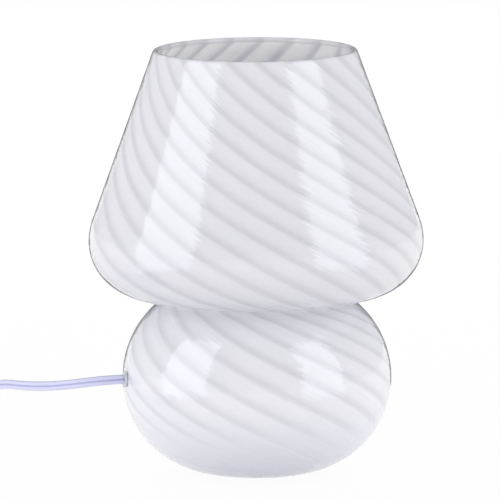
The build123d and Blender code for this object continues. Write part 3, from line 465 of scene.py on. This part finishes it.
def opal_glass(colours):
    """Opal glass, blown and fire-polished: milky bands, soft grey lines and a wet gloss."""
    material, tree, shader = new_material("opal_glass_blown")
    swirl = add_node(tree, "ShaderNodeUVMap", uv_map="swirl")
    split = add_node(tree, "ShaderNodeSeparateXYZ", {0: swirl.outputs[0]})
    depth = add_node(tree, "ShaderNodeMath", {0: split.outputs[1]}, operation="ABSOLUTE")
    inside = add_node(
        tree, "ShaderNodeMath", {0: split.outputs[1], 1: 0.0}, operation="LESS_THAN"
    )
    across = add_node(tree, "ShaderNodeMath", {0: split.outputs[0]}, operation="FRACT")
    # A line rises fast on its lower left side and fades out over a third of the band.
    profile = add_node(tree, "ShaderNodeValToRGB", {"Fac": across.outputs[0]})
    set_ramp(profile, LINE_PROFILE)
    # The lines thin out towards the foot, where the glass was drawn together.
    drawn_out = add_node(
        tree,
        "ShaderNodeMapRange",
        {
            "Value": depth.outputs[0],
            "From Min": FADE_FROM_S * V_PER_MM,
            "From Max": FADE_TO_S * V_PER_MM,
            "To Min": 1.0,
            "To Max": 0.0,
        },
        interpolation_type="SMOOTHSTEP",
    )
    place = add_node(tree, "ShaderNodeTexCoord")
    # The lines are stronger in some places than in others, 45 mm across.
    clouds = add_node(
        tree,
        "ShaderNodeTexNoise",
        {"Vector": place.outputs["Object"], "Scale": 1 / (45 * MM), "Detail": 1.0},
    )
    uneven = add_node(
        tree, "ShaderNodeMapRange", {"Value": clouds.outputs["Fac"], "To Min": 0.75, "To Max": 1.2}
    )
    # The grey lies near the inner face, so the lines are stronger seen from inside.
    deeper = add_node(
        tree, "ShaderNodeMapRange", {"Value": inside.outputs[0], "To Min": 1.0, "To Max": 1.9}
    )
    strength = profile
    for share in (uneven, drawn_out, deeper):
        strength = add_node(
            tree,
            "ShaderNodeMath",
            {0: strength.outputs[0], 1: share.outputs[0]},
            operation="MULTIPLY",
        )
    tinted = add_node(
        tree,
        "ShaderNodeMix",
        {"Factor": strength.outputs[0], 6: tuple(colours.band), 7: tuple(colours.line)},
        data_type="RGBA",
        clamp_factor=False,
    )
    # Painted shade by depth below the rim, standing in for how light falls on each part.
    painted_shade = add_node(tree, "ShaderNodeValToRGB", {"Fac": depth.outputs[0]})
    set_ramp(painted_shade, [(s * V_PER_MM, tone) for s, tone in PAINTED_SHADE_TONES])
    # This painted shade is laid on the outer face only.
    outside = add_node(tree, "ShaderNodeMath", {0: 1.0, 1: inside.outputs[0]}, operation="SUBTRACT")
    tinted = add_node(
        tree,
        "ShaderNodeMix",
        {"Factor": outside.outputs[0], 6: tinted.outputs[2], 7: painted_shade.outputs["Color"]},
        data_type="RGBA",
        blend_type="MULTIPLY",
    )
    # Streaks of uneven milk run along the bands, 2 to 3 mm wide and down 110 mm of wall.
    milk_at = add_node(
        tree, "ShaderNodeMapping", {"Vector": swirl.outputs[0], "Scale": (6.0, 3.6, 1.0)}
    )
    milk = add_node(
        tree, "ShaderNodeTexNoise", {"Vector": milk_at.outputs[0], "Scale": 1.0, "Detail": 2.0}
    )
    shade = add_node(
        tree, "ShaderNodeMapRange", {"Value": milk.outputs["Fac"], "To Min": 0.975, "To Max": 1.02}
    )
    bands = add_node(
        tree,
        "ShaderNodeMix",
        {"Factor": 1.0, 6: tinted.outputs[2], 7: shade.outputs[0]},
        data_type="RGBA",
        blend_type="MULTIPLY",
    )
    # Draw marks in the skin fray the edges of what it mirrors. They are as wide as the streaks
    # and run down 30 mm of wall.
    skin_at = add_node(
        tree, "ShaderNodeMapping", {"Vector": swirl.outputs[0], "Scale": (6.0, 13.0, 1.0)}
    )
    skin = add_node(
        tree, "ShaderNodeTexNoise", {"Vector": skin_at.outputs[0], "Scale": 1.0, "Detail": 1.0}
    )
    marks = add_node(
        tree, "ShaderNodeBump", {"Height": skin.outputs["Fac"], "Distance": 0.19 * MM}
    )
    # Light comes through the wall, which shows most on its inner face.
    cloudy = add_node(
        tree, "ShaderNodeMapRange", {"Value": inside.outputs[0], "To Min": 0.2, "To Max": 1.0}
    )
    tree.links.new(bands.outputs[2], shader.inputs["Base Color"])
    tree.links.new(marks.outputs[0], shader.inputs["Normal"])
    tree.links.new(cloudy.outputs[0], shader.inputs["Subsurface Weight"])
    shader.inputs["Roughness"].default_value = 0.04
    shader.inputs["IOR"].default_value = 1.5
    shader.inputs["Specular IOR Level"].default_value = 1.0
    shader.inputs["Subsurface Radius"].default_value = (1.0, 1.0, 1.0)
    shader.inputs["Subsurface Scale"].default_value = 12.0 * MM
    return material


def cut_cord_hole(glass):
    """Drill the cord's hole through the base."""
    bm = bmesh.new()
    bmesh.ops.create_cone(
        bm,
        cap_ends=True,
        segments=DRILL_SEGMENTS,
        radius1=HOLE_R * MM,
        radius2=HOLE_R * MM,
        depth=DRILL_LENGTH * MM,
    )
    drill_mesh = bpy.data.meshes.new("drill")
    bm.to_mesh(drill_mesh)
    bm.free()
    drill = bpy.data.objects.new("drill", drill_mesh)
    bpy.context.scene.collection.objects.link(drill)
    at = HOLE_DIR * JOIN_R + Vector((0, 0, HOLE_Z))
    turn = HOLE_DIR.to_track_quat("Z", "Y").to_matrix().to_4x4()
    drill.matrix_world = Matrix.Translation(at * MM) @ turn
    cut = glass.modifiers.new("cord_hole", "BOOLEAN")
    cut.operation = "DIFFERENCE"
    cut.solver = "EXACT"
    cut.object = drill
    depsgraph = bpy.context.evaluated_depsgraph_get()
    cut_mesh = bpy.data.meshes.new_from_object(glass.evaluated_get(depsgraph))
    glass.modifiers.clear()
    old = glass.data
    glass.data = cut_mesh
    bpy.data.meshes.remove(old)
    bpy.data.objects.remove(drill)


class LAMP_OT_glass(bpy.types.Operator):
    """Build the one-piece blown glass with its ribs, its lines and the drilled cord hole"""

    bl_idname = "lamp.glass"
    bl_label = "Blown glass"

    def execute(self, context):
        scene = context.scene
        glass = new_object(
            "blown_glass", blown_glass_mesh(scene.lamp_sizes), opal_glass(scene.lamp_colours)
        )
        cut_cord_hole(glass)
        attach(glass, "lamp")
        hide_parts("glass_body")
        return {"FINISHED"}


# ---------------------------------------------------------------- the cord
# The route's own points, in millimetres, as the frame's cord has them.
CORD_W = 5.2
SWITCH_X, SWITCH_Y, SWITCH_END, SWITCH_CORD_Z = -234.5, 14.0, 29.0, 7.4


def on_hole_plane(r, z):
    """A point at distance r from the axis on the side of the cord hole."""
    return HOLE_DIR * r + Vector((0, 0, z))


LEAD_POINTS = [
    on_hole_plane(JOIN_R, HOLE_Z),
    on_hole_plane(87.0, HOLE_Z),
    Vector((-109.5, -15.5, 51.3)),
    Vector((-128.5, 3.5, 48.0)),
    Vector((-142.5, 30.5, 45.0)),
    Vector((-154.0, 58.0, 36.5)),
    Vector((-167.5, 79.5, 23.5)),
    Vector((-185.5, 92.0, 12.5)),
    Vector((-205.3, 94.8, 6.2)),
    Vector((-221.9, 87.8, 3.6)),
    Vector((-231.9, 72.9, 4.0)),
    Vector((-234.3, 56.0, 6.8)),
    Vector((SWITCH_X, SWITCH_Y + SWITCH_END, SWITCH_CORD_Z)),
]
INNER_TOP = 112.0
INNER_POINTS = [
    on_hole_plane(JOIN_R, HOLE_Z),
    on_hole_plane(58.0, HOLE_Z),
    on_hole_plane(40.0, HOLE_Z - 7.0),
    on_hole_plane(20.0, HOLE_Z - 6.0),
    on_hole_plane(5.0, HOLE_Z + 7.0),
    on_hole_plane(0.0, HOLE_Z + 27.0),
    on_hole_plane(0.0, INNER_TOP),
]
COIL_Y, COIL_OUTER_R, COIL_STEP, COIL_LAYER_HALF_TURNS = -54.0, 35.2, 1.6, 8
COIL_LOW_Z, COIL_RISE = CORD_W / 2 + 0.1, CORD_W + 0.6
PLUG_START_Y = COIL_Y - 20.0
POINTS_PER_HALF_TURN = 8
STEPS_ROUND_CORE = 10


def coil_points():
    """The coil's route: in on the table, up during the innermost half turn and out on top."""
    points = [
        Vector((SWITCH_X, SWITCH_Y - SWITCH_END, SWITCH_CORD_Z)),
        Vector((SWITCH_X, SWITCH_Y - SWITCH_END - 8.0, SWITCH_CORD_Z)),
        Vector((SWITCH_X, COIL_Y + 17.0, COIL_LOW_Z)),
    ]
    x, r, z = SWITCH_X, COIL_OUTER_R, COIL_LOW_Z
    n = POINTS_PER_HALF_TURN
    for k in range(2 * COIL_LAYER_HALF_TURNS):
        side = 1 if k % 2 == 0 else -1
        rise = COIL_RISE if k == COIL_LAYER_HALF_TURNS else 0.0
        corner = r / cos(pi / (2 * n))
        for j in range(n):
            share = (j + 0.5) / n
            a = pi * share
            points.append(
                Vector(
                    (
                        x + side * (r - corner * cos(a)),
                        COIL_Y - side * corner * sin(a),
                        z + rise * share,
                    )
                )
            )
        x += side * 2 * r
        z += rise
        r += -COIL_STEP if k < COIL_LAYER_HALF_TURNS else COIL_STEP
    points.append(Vector((SWITCH_X, PLUG_START_Y, z)))
    return points


def cord_line(name, points):
    """Points read along a smooth NURBS line through the route, in metres."""
    curve = bpy.data.curves.new(name, "CURVE")
    curve.dimensions = "3D"
    spline = curve.splines.new("NURBS")
    spline.points.add(len(points) - 1)
    for point, at in zip(spline.points, points):
        point.co = (*(at * MM), 1.0)
    spline.order_u = 3
    spline.use_endpoint_u = True
    spline.resolution_u = 6
    guide = bpy.data.objects.new(name, curve)
    bpy.context.scene.collection.objects.link(guide)
    bpy.context.view_layer.update()
    depsgraph = bpy.context.evaluated_depsgraph_get()
    mesh = bpy.data.meshes.new_from_object(guide.evaluated_get(depsgraph))
    line = [v.co.copy() for v in mesh.vertices]
    bpy.data.meshes.remove(mesh)
    bpy.data.objects.remove(guide)
    bpy.data.curves.remove(curve)
    return line


def cord_section(sizes):
    """The twin cord's outline: two round cores and the groove between them."""
    r = sizes.core_radius
    neck = asin(sizes.web / 2 / r)
    points = []
    for lobe in (1, -1):
        for k in range(STEPS_ROUND_CORE + 1):
            a = neck + (2 * pi - 2 * neck) * k / STEPS_ROUND_CORE
            points.append((lobe * r * sin(a), lobe * r * (1 - cos(a))))
    return points


def twin_cord(name, line, sizes, material, across=None):
    """A flat twin cord along a line, its width upright, or square to a given direction."""
    section = cord_section(sizes)
    bm = bmesh.new()
    uv = bm.loops.layers.uv.new("cord")
    rings, run, ran = [], [], 0.0
    for k, at in enumerate(line):
        ahead = line[min(k + 1, len(line) - 1)] - line[max(k - 1, 0)]
        ahead.normalize()
        side = across or ahead.cross(Vector((0, 0, 1))).normalized()
        up = side.cross(ahead).normalized()
        rings.append([bm.verts.new(at + side * x + up * y) for x, y in section])
        ran += (at - line[k - 1]).length if k else 0.0
        run.append(ran)
    n = len(section)
    for k in range(len(rings) - 1):
        low, high = rings[k], rings[k + 1]
        for i in range(n):
            j = (i + 1) % n
            face = bm.faces.new((low[i], low[j], high[j], high[i]))
            u0, u1, v0, v1 = i / n, (i + 1) / n, run[k], run[k + 1]
            marks = ((u0, v0), (u1, v0), (u1, v1), (u0, v1))
            for loop, mark in zip(face.loops, marks):
                loop[uv].uv = mark
    bm.faces.new(reversed(rings[0]))
    bm.faces.new(rings[-1])
    bmesh.ops.recalc_face_normals(bm, faces=bm.faces)
    mesh = bpy.data.meshes.new(name)
    bm.to_mesh(mesh)
    bm.free()
    smooth(mesh)
    return new_object(name, mesh, material)


# Painted shade round the cord's outline, from one side of the groove and back: darker in the groove
# and along each core's outermost line, the cord's top and bottom edges.
CORD_PAINTED_SHADE = [
    (0.0, "#C4C3DC"),
    (0.07, "#FFFFFF"),
    (0.16, "#FFFFFF"),
    (0.227, "#B9BAC8"),
    (0.29, "#FFFFFF"),
    (0.40, "#FFFFFF"),
    (0.477, "#C4C3DC"),
    (0.55, "#FFFFFF"),
    (0.66, "#FFFFFF"),
    (0.727, "#B9BAC8"),
    (0.79, "#FFFFFF"),
    (0.91, "#FFFFFF"),
    (1.0, "#C4C3DC"),
]


def cord_pvc(colours):
    """Soft PVC, extruded: an even lavender white with a faint drag along its length."""
    material, tree, shader = new_material("pvc_extruded_cord")
    place = add_node(tree, "ShaderNodeUVMap", uv_map="cord")
    # Drag marks are 0.3 mm wide and 40 mm long.
    drawn = add_node(
        tree, "ShaderNodeMapping", {"Vector": place.outputs[0], "Scale": (50.0, 25.0, 1.0)}
    )
    drag = add_node(
        tree, "ShaderNodeTexNoise", {"Vector": drawn.outputs[0], "Scale": 1.0, "Detail": 2.0}
    )
    tone = add_node(
        tree, "ShaderNodeMapRange", {"Value": drag.outputs["Fac"], "To Min": 0.98, "To Max": 1.02}
    )
    tinted = add_node(
        tree,
        "ShaderNodeMix",
        {"Factor": 1.0, 6: tuple(colours.cord), 7: tone.outputs[0]},
        data_type="RGBA",
        blend_type="MULTIPLY",
    )
    # Painted shade: the skin is darker in the groove and along each core's outermost line.
    across = add_node(tree, "ShaderNodeSeparateXYZ", {0: place.outputs[0]})
    depth = add_node(tree, "ShaderNodeValToRGB", {"Fac": across.outputs[0]})
    set_ramp(depth, CORD_PAINTED_SHADE)
    tinted = add_node(
        tree,
        "ShaderNodeMix",
        {"Factor": 1.0, 6: tinted.outputs[2], 7: depth.outputs["Color"]},
        data_type="RGBA",
        blend_type="MULTIPLY",
    )
    relief = add_node(
        tree, "ShaderNodeBump", {"Height": drag.outputs["Fac"], "Distance": 0.02 * MM}
    )
    tree.links.new(tinted.outputs[2], shader.inputs["Base Color"])
    tree.links.new(relief.outputs[0], shader.inputs["Normal"])
    shader.inputs["Roughness"].default_value = 0.32
    shader.inputs["IOR"].default_value = 1.53
    return material


class LAMP_OT_cord(bpy.types.Operator):
    """Lay the flat twin cord: inside the base, out to the switch, and coiled up to the plug"""

    bl_idname = "lamp.cord"
    bl_label = "Flat cord"

    def execute(self, context):
        sizes = context.scene.lamp_sizes
        pvc = cord_pvc(context.scene.lamp_colours)
        lead_line = cord_line("lead", LEAD_POINTS)
        coil_line = cord_line("coil", coil_points())
        inside_line = cord_line("inside", INNER_POINTS)
        lead = twin_cord("cord_to_switch", lead_line, sizes, pvc)
        coil = twin_cord("cord_to_plug", coil_line, sizes, pvc)
        across = HOLE_DIR.cross(Vector((0, 0, 1)))
        inside = twin_cord("cord_in_base", inside_line, sizes, pvc, across)
        for piece, node in ((lead, "cord_lead"), (coil, "cord_coil"), (inside, "inner_cord")):
            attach(piece, "lamp")
            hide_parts(node)
        dress(pvc, "cord_pvc", "switch_wires", "conductor_wires")
        return {"FINISHED"}


# ---------------------------------------------------------------- fittings
class LAMP_OT_fittings(bpy.types.Operator):
    """Finish the feet, the grommet, the plate in the neck and its springs"""

    bl_idname = "lamp.fittings"
    bl_label = "Feet, grommet and plate"

    def execute(self, context):
        # Clear silicone, moulded: a cool, slightly cloudy rubber that lets light in.
        clear = finish(
            "silicone_moulded_clear", "#F6F8FB", "#EEF2F6", 4.0, (0.2, 0.3), 0.01,
            Transmission_Weight=0.3, IOR=1.41,
        )
        # White silicone, moulded: matt and even.
        white = finish(
            "silicone_moulded_white", "#EEEEEC", "#E4E4E2", 2.0, (0.5, 0.6), 0.02, IOR=1.41
        )
        # Steel, powder coated: white with the orange peel of the cured powder.
        powder = finish("steel_powder_coated", "#F2F2F0", "#EAEAE8", 1.2, (0.35, 0.45), 0.03)
        # Spring steel, cold rolled: dull grey with rolling lines.
        spring = finish(
            "spring_steel_rolled", "#A9ABAE", "#8F9194", 0.6, (0.28, 0.4), 0.004,
            stretch=(1, 1, 0.08), metallic=1.0,
        )
        # Aluminium rivets, upset cold: bright with fine tool marks.
        rivet = finish(
            "aluminium_cold_headed", "#DADCDE", "#C4C6C9", 0.5, (0.25, 0.35), 0.004, metallic=1.0
        )
        dress(clear, "clear_silicone", "foot_pads", "cord_grommet")
        dress(white, "white_silicone", "neck_gasket", "spring_tips")
        dress(powder, "painted_steel", "holder_plate")
        dress(spring, "spring_steel", "retaining_springs")
        dress(rivet, "aluminium", "spring_rivets", "led_board")
        return {"FINISHED"}


class LAMP_OT_lampholder(bpy.types.Operator):
    """Finish the threaded tube, the lampholder and its contacts"""

    bl_idname = "lamp.lampholder"
    bl_label = "Lampholder"

    def execute(self, context):
        # Zinc-plated steel: cool bright grey with a fine crystal bloom.
        zinc = finish(
            "steel_zinc_plated", "#D2D6DA", "#B4BAC0", 0.8, (0.22, 0.36), 0.003, metallic=1.0
        )
        # Brass, stamped: warm yellow with slight tarnish.
        brass = finish("brass_stamped", "#D9B978", "#B8935A", 2.5, (0.25, 0.4), 0.004, metallic=1.0)
        # Nickel-plated brass, rolled thread: pale warm silver.
        nickel = finish(
            "brass_nickel_plated", "#D5D3CE", "#C2BFB8", 1.5, (0.16, 0.28), 0.003, metallic=1.0
        )
        # PBT, injection moulded: white with a spark-eroded grain.
        pbt = finish("pbt_moulded_white", "#F1F1EE", "#E9E9E6", 0.5, (0.42, 0.55), 0.015, IOR=1.57)
        # Phenolic, compression moulded: cream, dense and faintly mottled.
        phenolic = finish(
            "phenolic_moulded", "#E2DDD0", "#D2CCBC", 1.5, (0.35, 0.5), 0.01, IOR=1.6
        )
        dress(
            zinc, "zinc_steel", "threaded_nipple", "nipple_washers", "switch_pin", "switch_screws"
        )
        dress(brass, "brass", "nipple_nut", "centre_contact", "terminal_plates", "terminal_screws")
        dress(brass, "brass", "bulb_contact", "switch_contacts", "plug_blades")
        dress(nickel, "nickel_brass", "screw_shell", "bulb_screw_cap")
        dress(pbt, "white_plastic", "socket_cap", "socket_body", "cord_grip", "bulb_housing")
        dress(phenolic, "phenolic", "socket_insulator")
        return {"FINISHED"}


class LAMP_OT_bulb(bpy.types.Operator):
    """Finish the bulb's globe, its light source and its driver"""

    bl_idname = "lamp.bulb"
    bl_label = "Bulb"

    def execute(self, context):
        # Polycarbonate, blown with diffuser: a warm white that glows a little from within.
        globe = finish(
            "polycarbonate_frosted", "#F4F4F0", "#EDEDE8", 6.0, (0.45, 0.55), 0.01,
            Subsurface_Weight=0.3, Subsurface_Radius=(1, 1, 1), Subsurface_Scale=0.004, IOR=1.58,
        )
        # Phosphor over the light sources, cast: yellow and slightly rough.
        phosphor = finish("phosphor_cast", "#F2DC86", "#E6CB6B", 0.6, (0.4, 0.5), 0.01)
        # Potting compound, cast: dark and glossy.
        potting = finish("epoxy_cast_dark", "#3B3B40", "#2D2D31", 3.0, (0.2, 0.35), 0.02, IOR=1.55)
        # Vitrite, glazed: the black glass insulator of a screw cap.
        glaze = finish("vitrite_glazed", "#141417", "#0B0B0D", 1.0, (0.08, 0.16), 0.005, IOR=1.6)
        dress(globe, "bulb_diffuser", "bulb_globe")
        dress(phosphor, "led_phosphor", "led_chips")
        dress(potting, "potting", "driver_capsule")
        dress(glaze, "black_glaze", "bulb_insulator")
        return {"FINISHED"}


class LAMP_OT_switch_and_plug(bpy.types.Operator):
    """Finish the inline switch and the plug"""

    bl_idname = "lamp.switch_and_plug"
    bl_label = "Switch and plug"

    def execute(self, context):
        # ABS, injection moulded: glossy white with a faint sink and polish.
        abs_white = finish(
            "abs_moulded_white", "#EFEFF2", "#E7E7EB", 5.0, (0.22, 0.32), 0.01, IOR=1.53
        )
        # PVC, overmoulded: softer and more matt than the cord it grips.
        pvc_plug = finish("pvc_overmoulded", "#DFE0F4", "#D3D5EC", 1.0, (0.4, 0.52), 0.02, IOR=1.53)
        dress(abs_white, "white_abs", "switch_bottom", "switch_top", "switch_rocker")
        dress(pvc_plug, "plug_pvc", "plug_body")
        return {"FINISHED"}


# ---------------------------------------------------------------- studio
# Places and sizes are in metres, the lens in millimetres and the lights' power in watts.
CAMERA_AT = (-0.0034, -3.5, 0.673)
CAMERA_PITCH, CAMERA_ROLL, CAMERA_LENS = radians(8.91), radians(0.35), 461.5
PANEL_X = 0.31
LEFT_PANEL_Y, RIGHT_PANEL_Y = (-0.365, -0.06), (-0.405, -0.105)
PANEL_TOP = 0.58
PANEL_GLOW = 2.05
FLOOR_REACH, OVER_FLOOR = 8.0, 0.001
WHITE_SHARE = 0.96
EVEN_LIGHT = 0.735
# How bright gloss sees the world, by the sine of the height above the horizon.
GLOSS_WORLD = [(0.0, 0.78), (0.12, 0.72), (0.35, 0.55), (0.6, 0.48)]
LIGHT_SIZE, LIGHT_AIM = (1.6, 0.5), (0.0, 0.0, 0.12)
LIGHTS = (
    ("light_left", (-1.8, -1.0, 0.3), 13.0),
    ("light_right", (1.8, -1.0, 0.3), 11.0),
    ("light_back", (0.0, 2.0, 0.9), 19.0),
)
CARD_HALF_WIDTH, CARD_Y, CARD_TOP = 0.155, 0.25, 0.42


def backdrop_material():
    """White paper that the camera, gloss and clear pieces see as white, under a soft shadow."""
    material, tree = bare_material("paper_backdrop")
    material.cycles.emission_sampling = "NONE"
    paper = add_node(tree, "ShaderNodeBsdfDiffuse", {"Color": srgb("#F0F0F2")})
    white = add_node(tree, "ShaderNodeEmission", {"Color": (1, 1, 1, 1), "Strength": 1.0})
    ray = add_node(tree, "ShaderNodeLightPath")
    seen = add_node(
        tree,
        "ShaderNodeMath",
        {0: ray.outputs["Is Camera Ray"], 1: ray.outputs["Is Glossy Ray"]},
        operation="MAXIMUM",
    )
    seen = add_node(
        tree,
        "ShaderNodeMath",
        {0: seen.outputs[0], 1: ray.outputs["Is Transmission Ray"]},
        operation="MAXIMUM",
    )
    # What is left of the paper's own shading shows the lamp's soft shadow.
    share = add_node(
        tree, "ShaderNodeMath", {0: seen.outputs[0], 1: WHITE_SHARE}, operation="MULTIPLY"
    )
    mixed = add_node(
        tree,
        "ShaderNodeMixShader",
        {0: share.outputs[0], 1: paper.outputs[0], 2: white.outputs[0]},
    )
    add_node(tree, "ShaderNodeOutputMaterial", {"Surface": mixed.outputs[0]})
    return material


def gloss_only(card):
    """Make a stage piece that only gloss sees."""
    card.visible_camera = False
    card.visible_diffuse = False
    card.visible_transmission = False
    card.visible_volume_scatter = False
    card.visible_shadow = False


def glossy_panel(name, x, y_range, strength):
    """A light panel that only gloss sees, so that it draws its strip on the glass."""
    y0, y1 = y_range
    low, top = OVER_FLOOR, PANEL_TOP
    mesh = bpy.data.meshes.new(name)
    mesh.from_pydata([(x, y0, low), (x, y1, low), (x, y1, top), (x, y0, top)], [], [(0, 1, 2, 3)])
    material, tree = bare_material(name)
    material.cycles.emission_sampling = "NONE"
    glow = add_node(tree, "ShaderNodeEmission", {"Color": srgb("#F6F7FF"), "Strength": strength})
    add_node(tree, "ShaderNodeOutputMaterial", {"Surface": glow.outputs[0]})
    gloss_only(new_object(name, mesh, material))


def dark_card():
    """A dark card behind the lamp, which only gloss sees, and only from the front.

    It draws the thin dark edges round the glass.
    """
    mesh = bpy.data.meshes.new("dark_card")
    x, y, low, top = CARD_HALF_WIDTH, CARD_Y, OVER_FLOOR, CARD_TOP
    mesh.from_pydata([(-x, y, low), (x, y, low), (x, y, top), (-x, y, top)], [], [(0, 1, 2, 3)])
    material, tree = bare_material("card_dark")
    material.cycles.emission_sampling = "NONE"
    dark = add_node(tree, "ShaderNodeEmission", {"Color": srgb("#202024"), "Strength": 1.0})
    clear = add_node(tree, "ShaderNodeBsdfTransparent")
    side = add_node(tree, "ShaderNodeNewGeometry")
    mixed = add_node(
        tree,
        "ShaderNodeMixShader",
        {0: side.outputs["Backfacing"], 1: dark.outputs[0], 2: clear.outputs[0]},
    )
    add_node(tree, "ShaderNodeOutputMaterial", {"Surface": mixed.outputs[0]})
    gloss_only(new_object("dark_card", mesh, material))


def soft_light(name, at, power):
    """A soft lamp from one side, which reaches in under the shade, or from the back."""
    data = bpy.data.lights.new(name, "AREA")
    data.shape = "RECTANGLE"
    data.size, data.size_y = LIGHT_SIZE
    data.energy = power
    lamp = bpy.data.objects.new(name, data)
    lamp.location = at
    way = Vector(LIGHT_AIM) - Vector(at)
    lamp.rotation_euler = way.to_track_quat("-Z", "Y").to_euler()
    lamp.visible_camera = False
    lamp.visible_glossy = False
    bpy.context.scene.collection.objects.link(lamp)


def studio_world():
    """White all round for the camera; even light for surfaces; grey round the glass's edges."""
    world = bpy.data.worlds.new("studio")
    bpy.context.scene.world = world
    world.use_nodes = True
    tree = world.node_tree
    tree.nodes.clear()
    ray = add_node(tree, "ShaderNodeLightPath")
    even = add_node(
        tree, "ShaderNodeBackground", {"Color": srgb("#F8F8FA"), "Strength": EVEN_LIGHT}
    )
    # Gloss sees a pale horizon, where the floor ends, and grey from 20 degrees up.
    place = add_node(tree, "ShaderNodeTexCoord")
    split = add_node(tree, "ShaderNodeSeparateXYZ", {0: place.outputs["Generated"]})
    fall = add_node(tree, "ShaderNodeValToRGB", {"Fac": split.outputs[2]})
    set_ramp(fall, GLOSS_WORLD)
    edge = add_node(
        tree, "ShaderNodeBackground", {"Color": srgb("#E4E5EA"), "Strength": fall.outputs["Color"]}
    )
    white = add_node(tree, "ShaderNodeBackground", {"Color": (1, 1, 1, 1), "Strength": 1.0})
    gloss = add_node(
        tree,
        "ShaderNodeMixShader",
        {0: ray.outputs["Is Glossy Ray"], 1: even.outputs[0], 2: edge.outputs[0]},
    )
    seen = add_node(
        tree,
        "ShaderNodeMath",
        {0: ray.outputs["Is Camera Ray"], 1: ray.outputs["Is Transmission Ray"]},
        operation="MAXIMUM",
    )
    mixed = add_node(
        tree,
        "ShaderNodeMixShader",
        {0: seen.outputs[0], 1: gloss.outputs[0], 2: white.outputs[0]},
    )
    add_node(tree, "ShaderNodeOutputWorld", {"Surface": mixed.outputs[0]})


class LAMP_OT_studio(bpy.types.Operator):
    """Set up the white floor, the soft lights, the light panels and the camera"""

    bl_idname = "lamp.studio"
    bl_label = "Studio"

    def execute(self, context):
        mesh = bpy.data.meshes.new("floor")
        r = FLOOR_REACH
        mesh.from_pydata([(-r, -r, 0), (r, -r, 0), (r, r, 0), (-r, r, 0)], [], [(0, 1, 2, 3)])
        new_object("floor", mesh, backdrop_material())
        studio_world()
        glossy_panel("panel_left", -PANEL_X, LEFT_PANEL_Y, PANEL_GLOW)
        glossy_panel("panel_right", PANEL_X, RIGHT_PANEL_Y, PANEL_GLOW)
        dark_card()
        for name, at, power in LIGHTS:
            soft_light(name, at, power)
        data = bpy.data.cameras.new("camera")
        data.lens = CAMERA_LENS
        data.sensor_width = 36.0
        data.clip_end = 60.0
        camera = bpy.data.objects.new("camera", data)
        pitch = Matrix.Rotation(pi / 2 - CAMERA_PITCH, 4, "X")
        roll = Matrix.Rotation(-CAMERA_ROLL, 4, "Z")
        camera.matrix_world = Matrix.Translation(CAMERA_AT) @ pitch @ roll
        context.scene.collection.objects.link(camera)
        context.scene.camera = camera
        context.scene.view_settings.view_transform = "Standard"
        return {"FINISHED"}


# ---------------------------------------------------------------- panel and registration
OPERATORS = (
    LAMP_OT_glass,
    LAMP_OT_cord,
    LAMP_OT_fittings,
    LAMP_OT_lampholder,
    LAMP_OT_bulb,
    LAMP_OT_switch_and_plug,
    LAMP_OT_studio,
)


class LAMP_PT_sidebar(bpy.types.Panel):
    """Lists the lamp's sizes, its colours and what builds it"""

    bl_idname = "LAMP_PT_sidebar"
    bl_label = "Table lamp"
    bl_space_type = "VIEW_3D"
    bl_region_type = "UI"
    bl_category = "Lamp"

    def draw(self, context):
        scene = context.scene
        for name in LampSizes.__annotations__:
            self.layout.prop(scene.lamp_sizes, name)
        for name in LampColours.__annotations__:
            self.layout.prop(scene.lamp_colours, name)
        for operator in OPERATORS:
            self.layout.operator(operator.bl_idname)


CLASSES = (LampSizes, LampColours, *OPERATORS, LAMP_PT_sidebar)


def register():
    for made in CLASSES:
        bpy.utils.register_class(made)
    bpy.types.Scene.lamp_sizes = bpy.props.PointerProperty(type=LampSizes)
    bpy.types.Scene.lamp_colours = bpy.props.PointerProperty(type=LampColours)


def unregister():
    del bpy.types.Scene.lamp_sizes
    del bpy.types.Scene.lamp_colours
    for made in reversed(CLASSES):
        bpy.utils.unregister_class(made)


def main():
    """Build the whole lamp and its studio."""
    register()
    for operator in OPERATORS:
        family, name = operator.bl_idname.split(".")
        getattr(getattr(bpy.ops, family), name)()


if __name__ == "__main__":
    main()
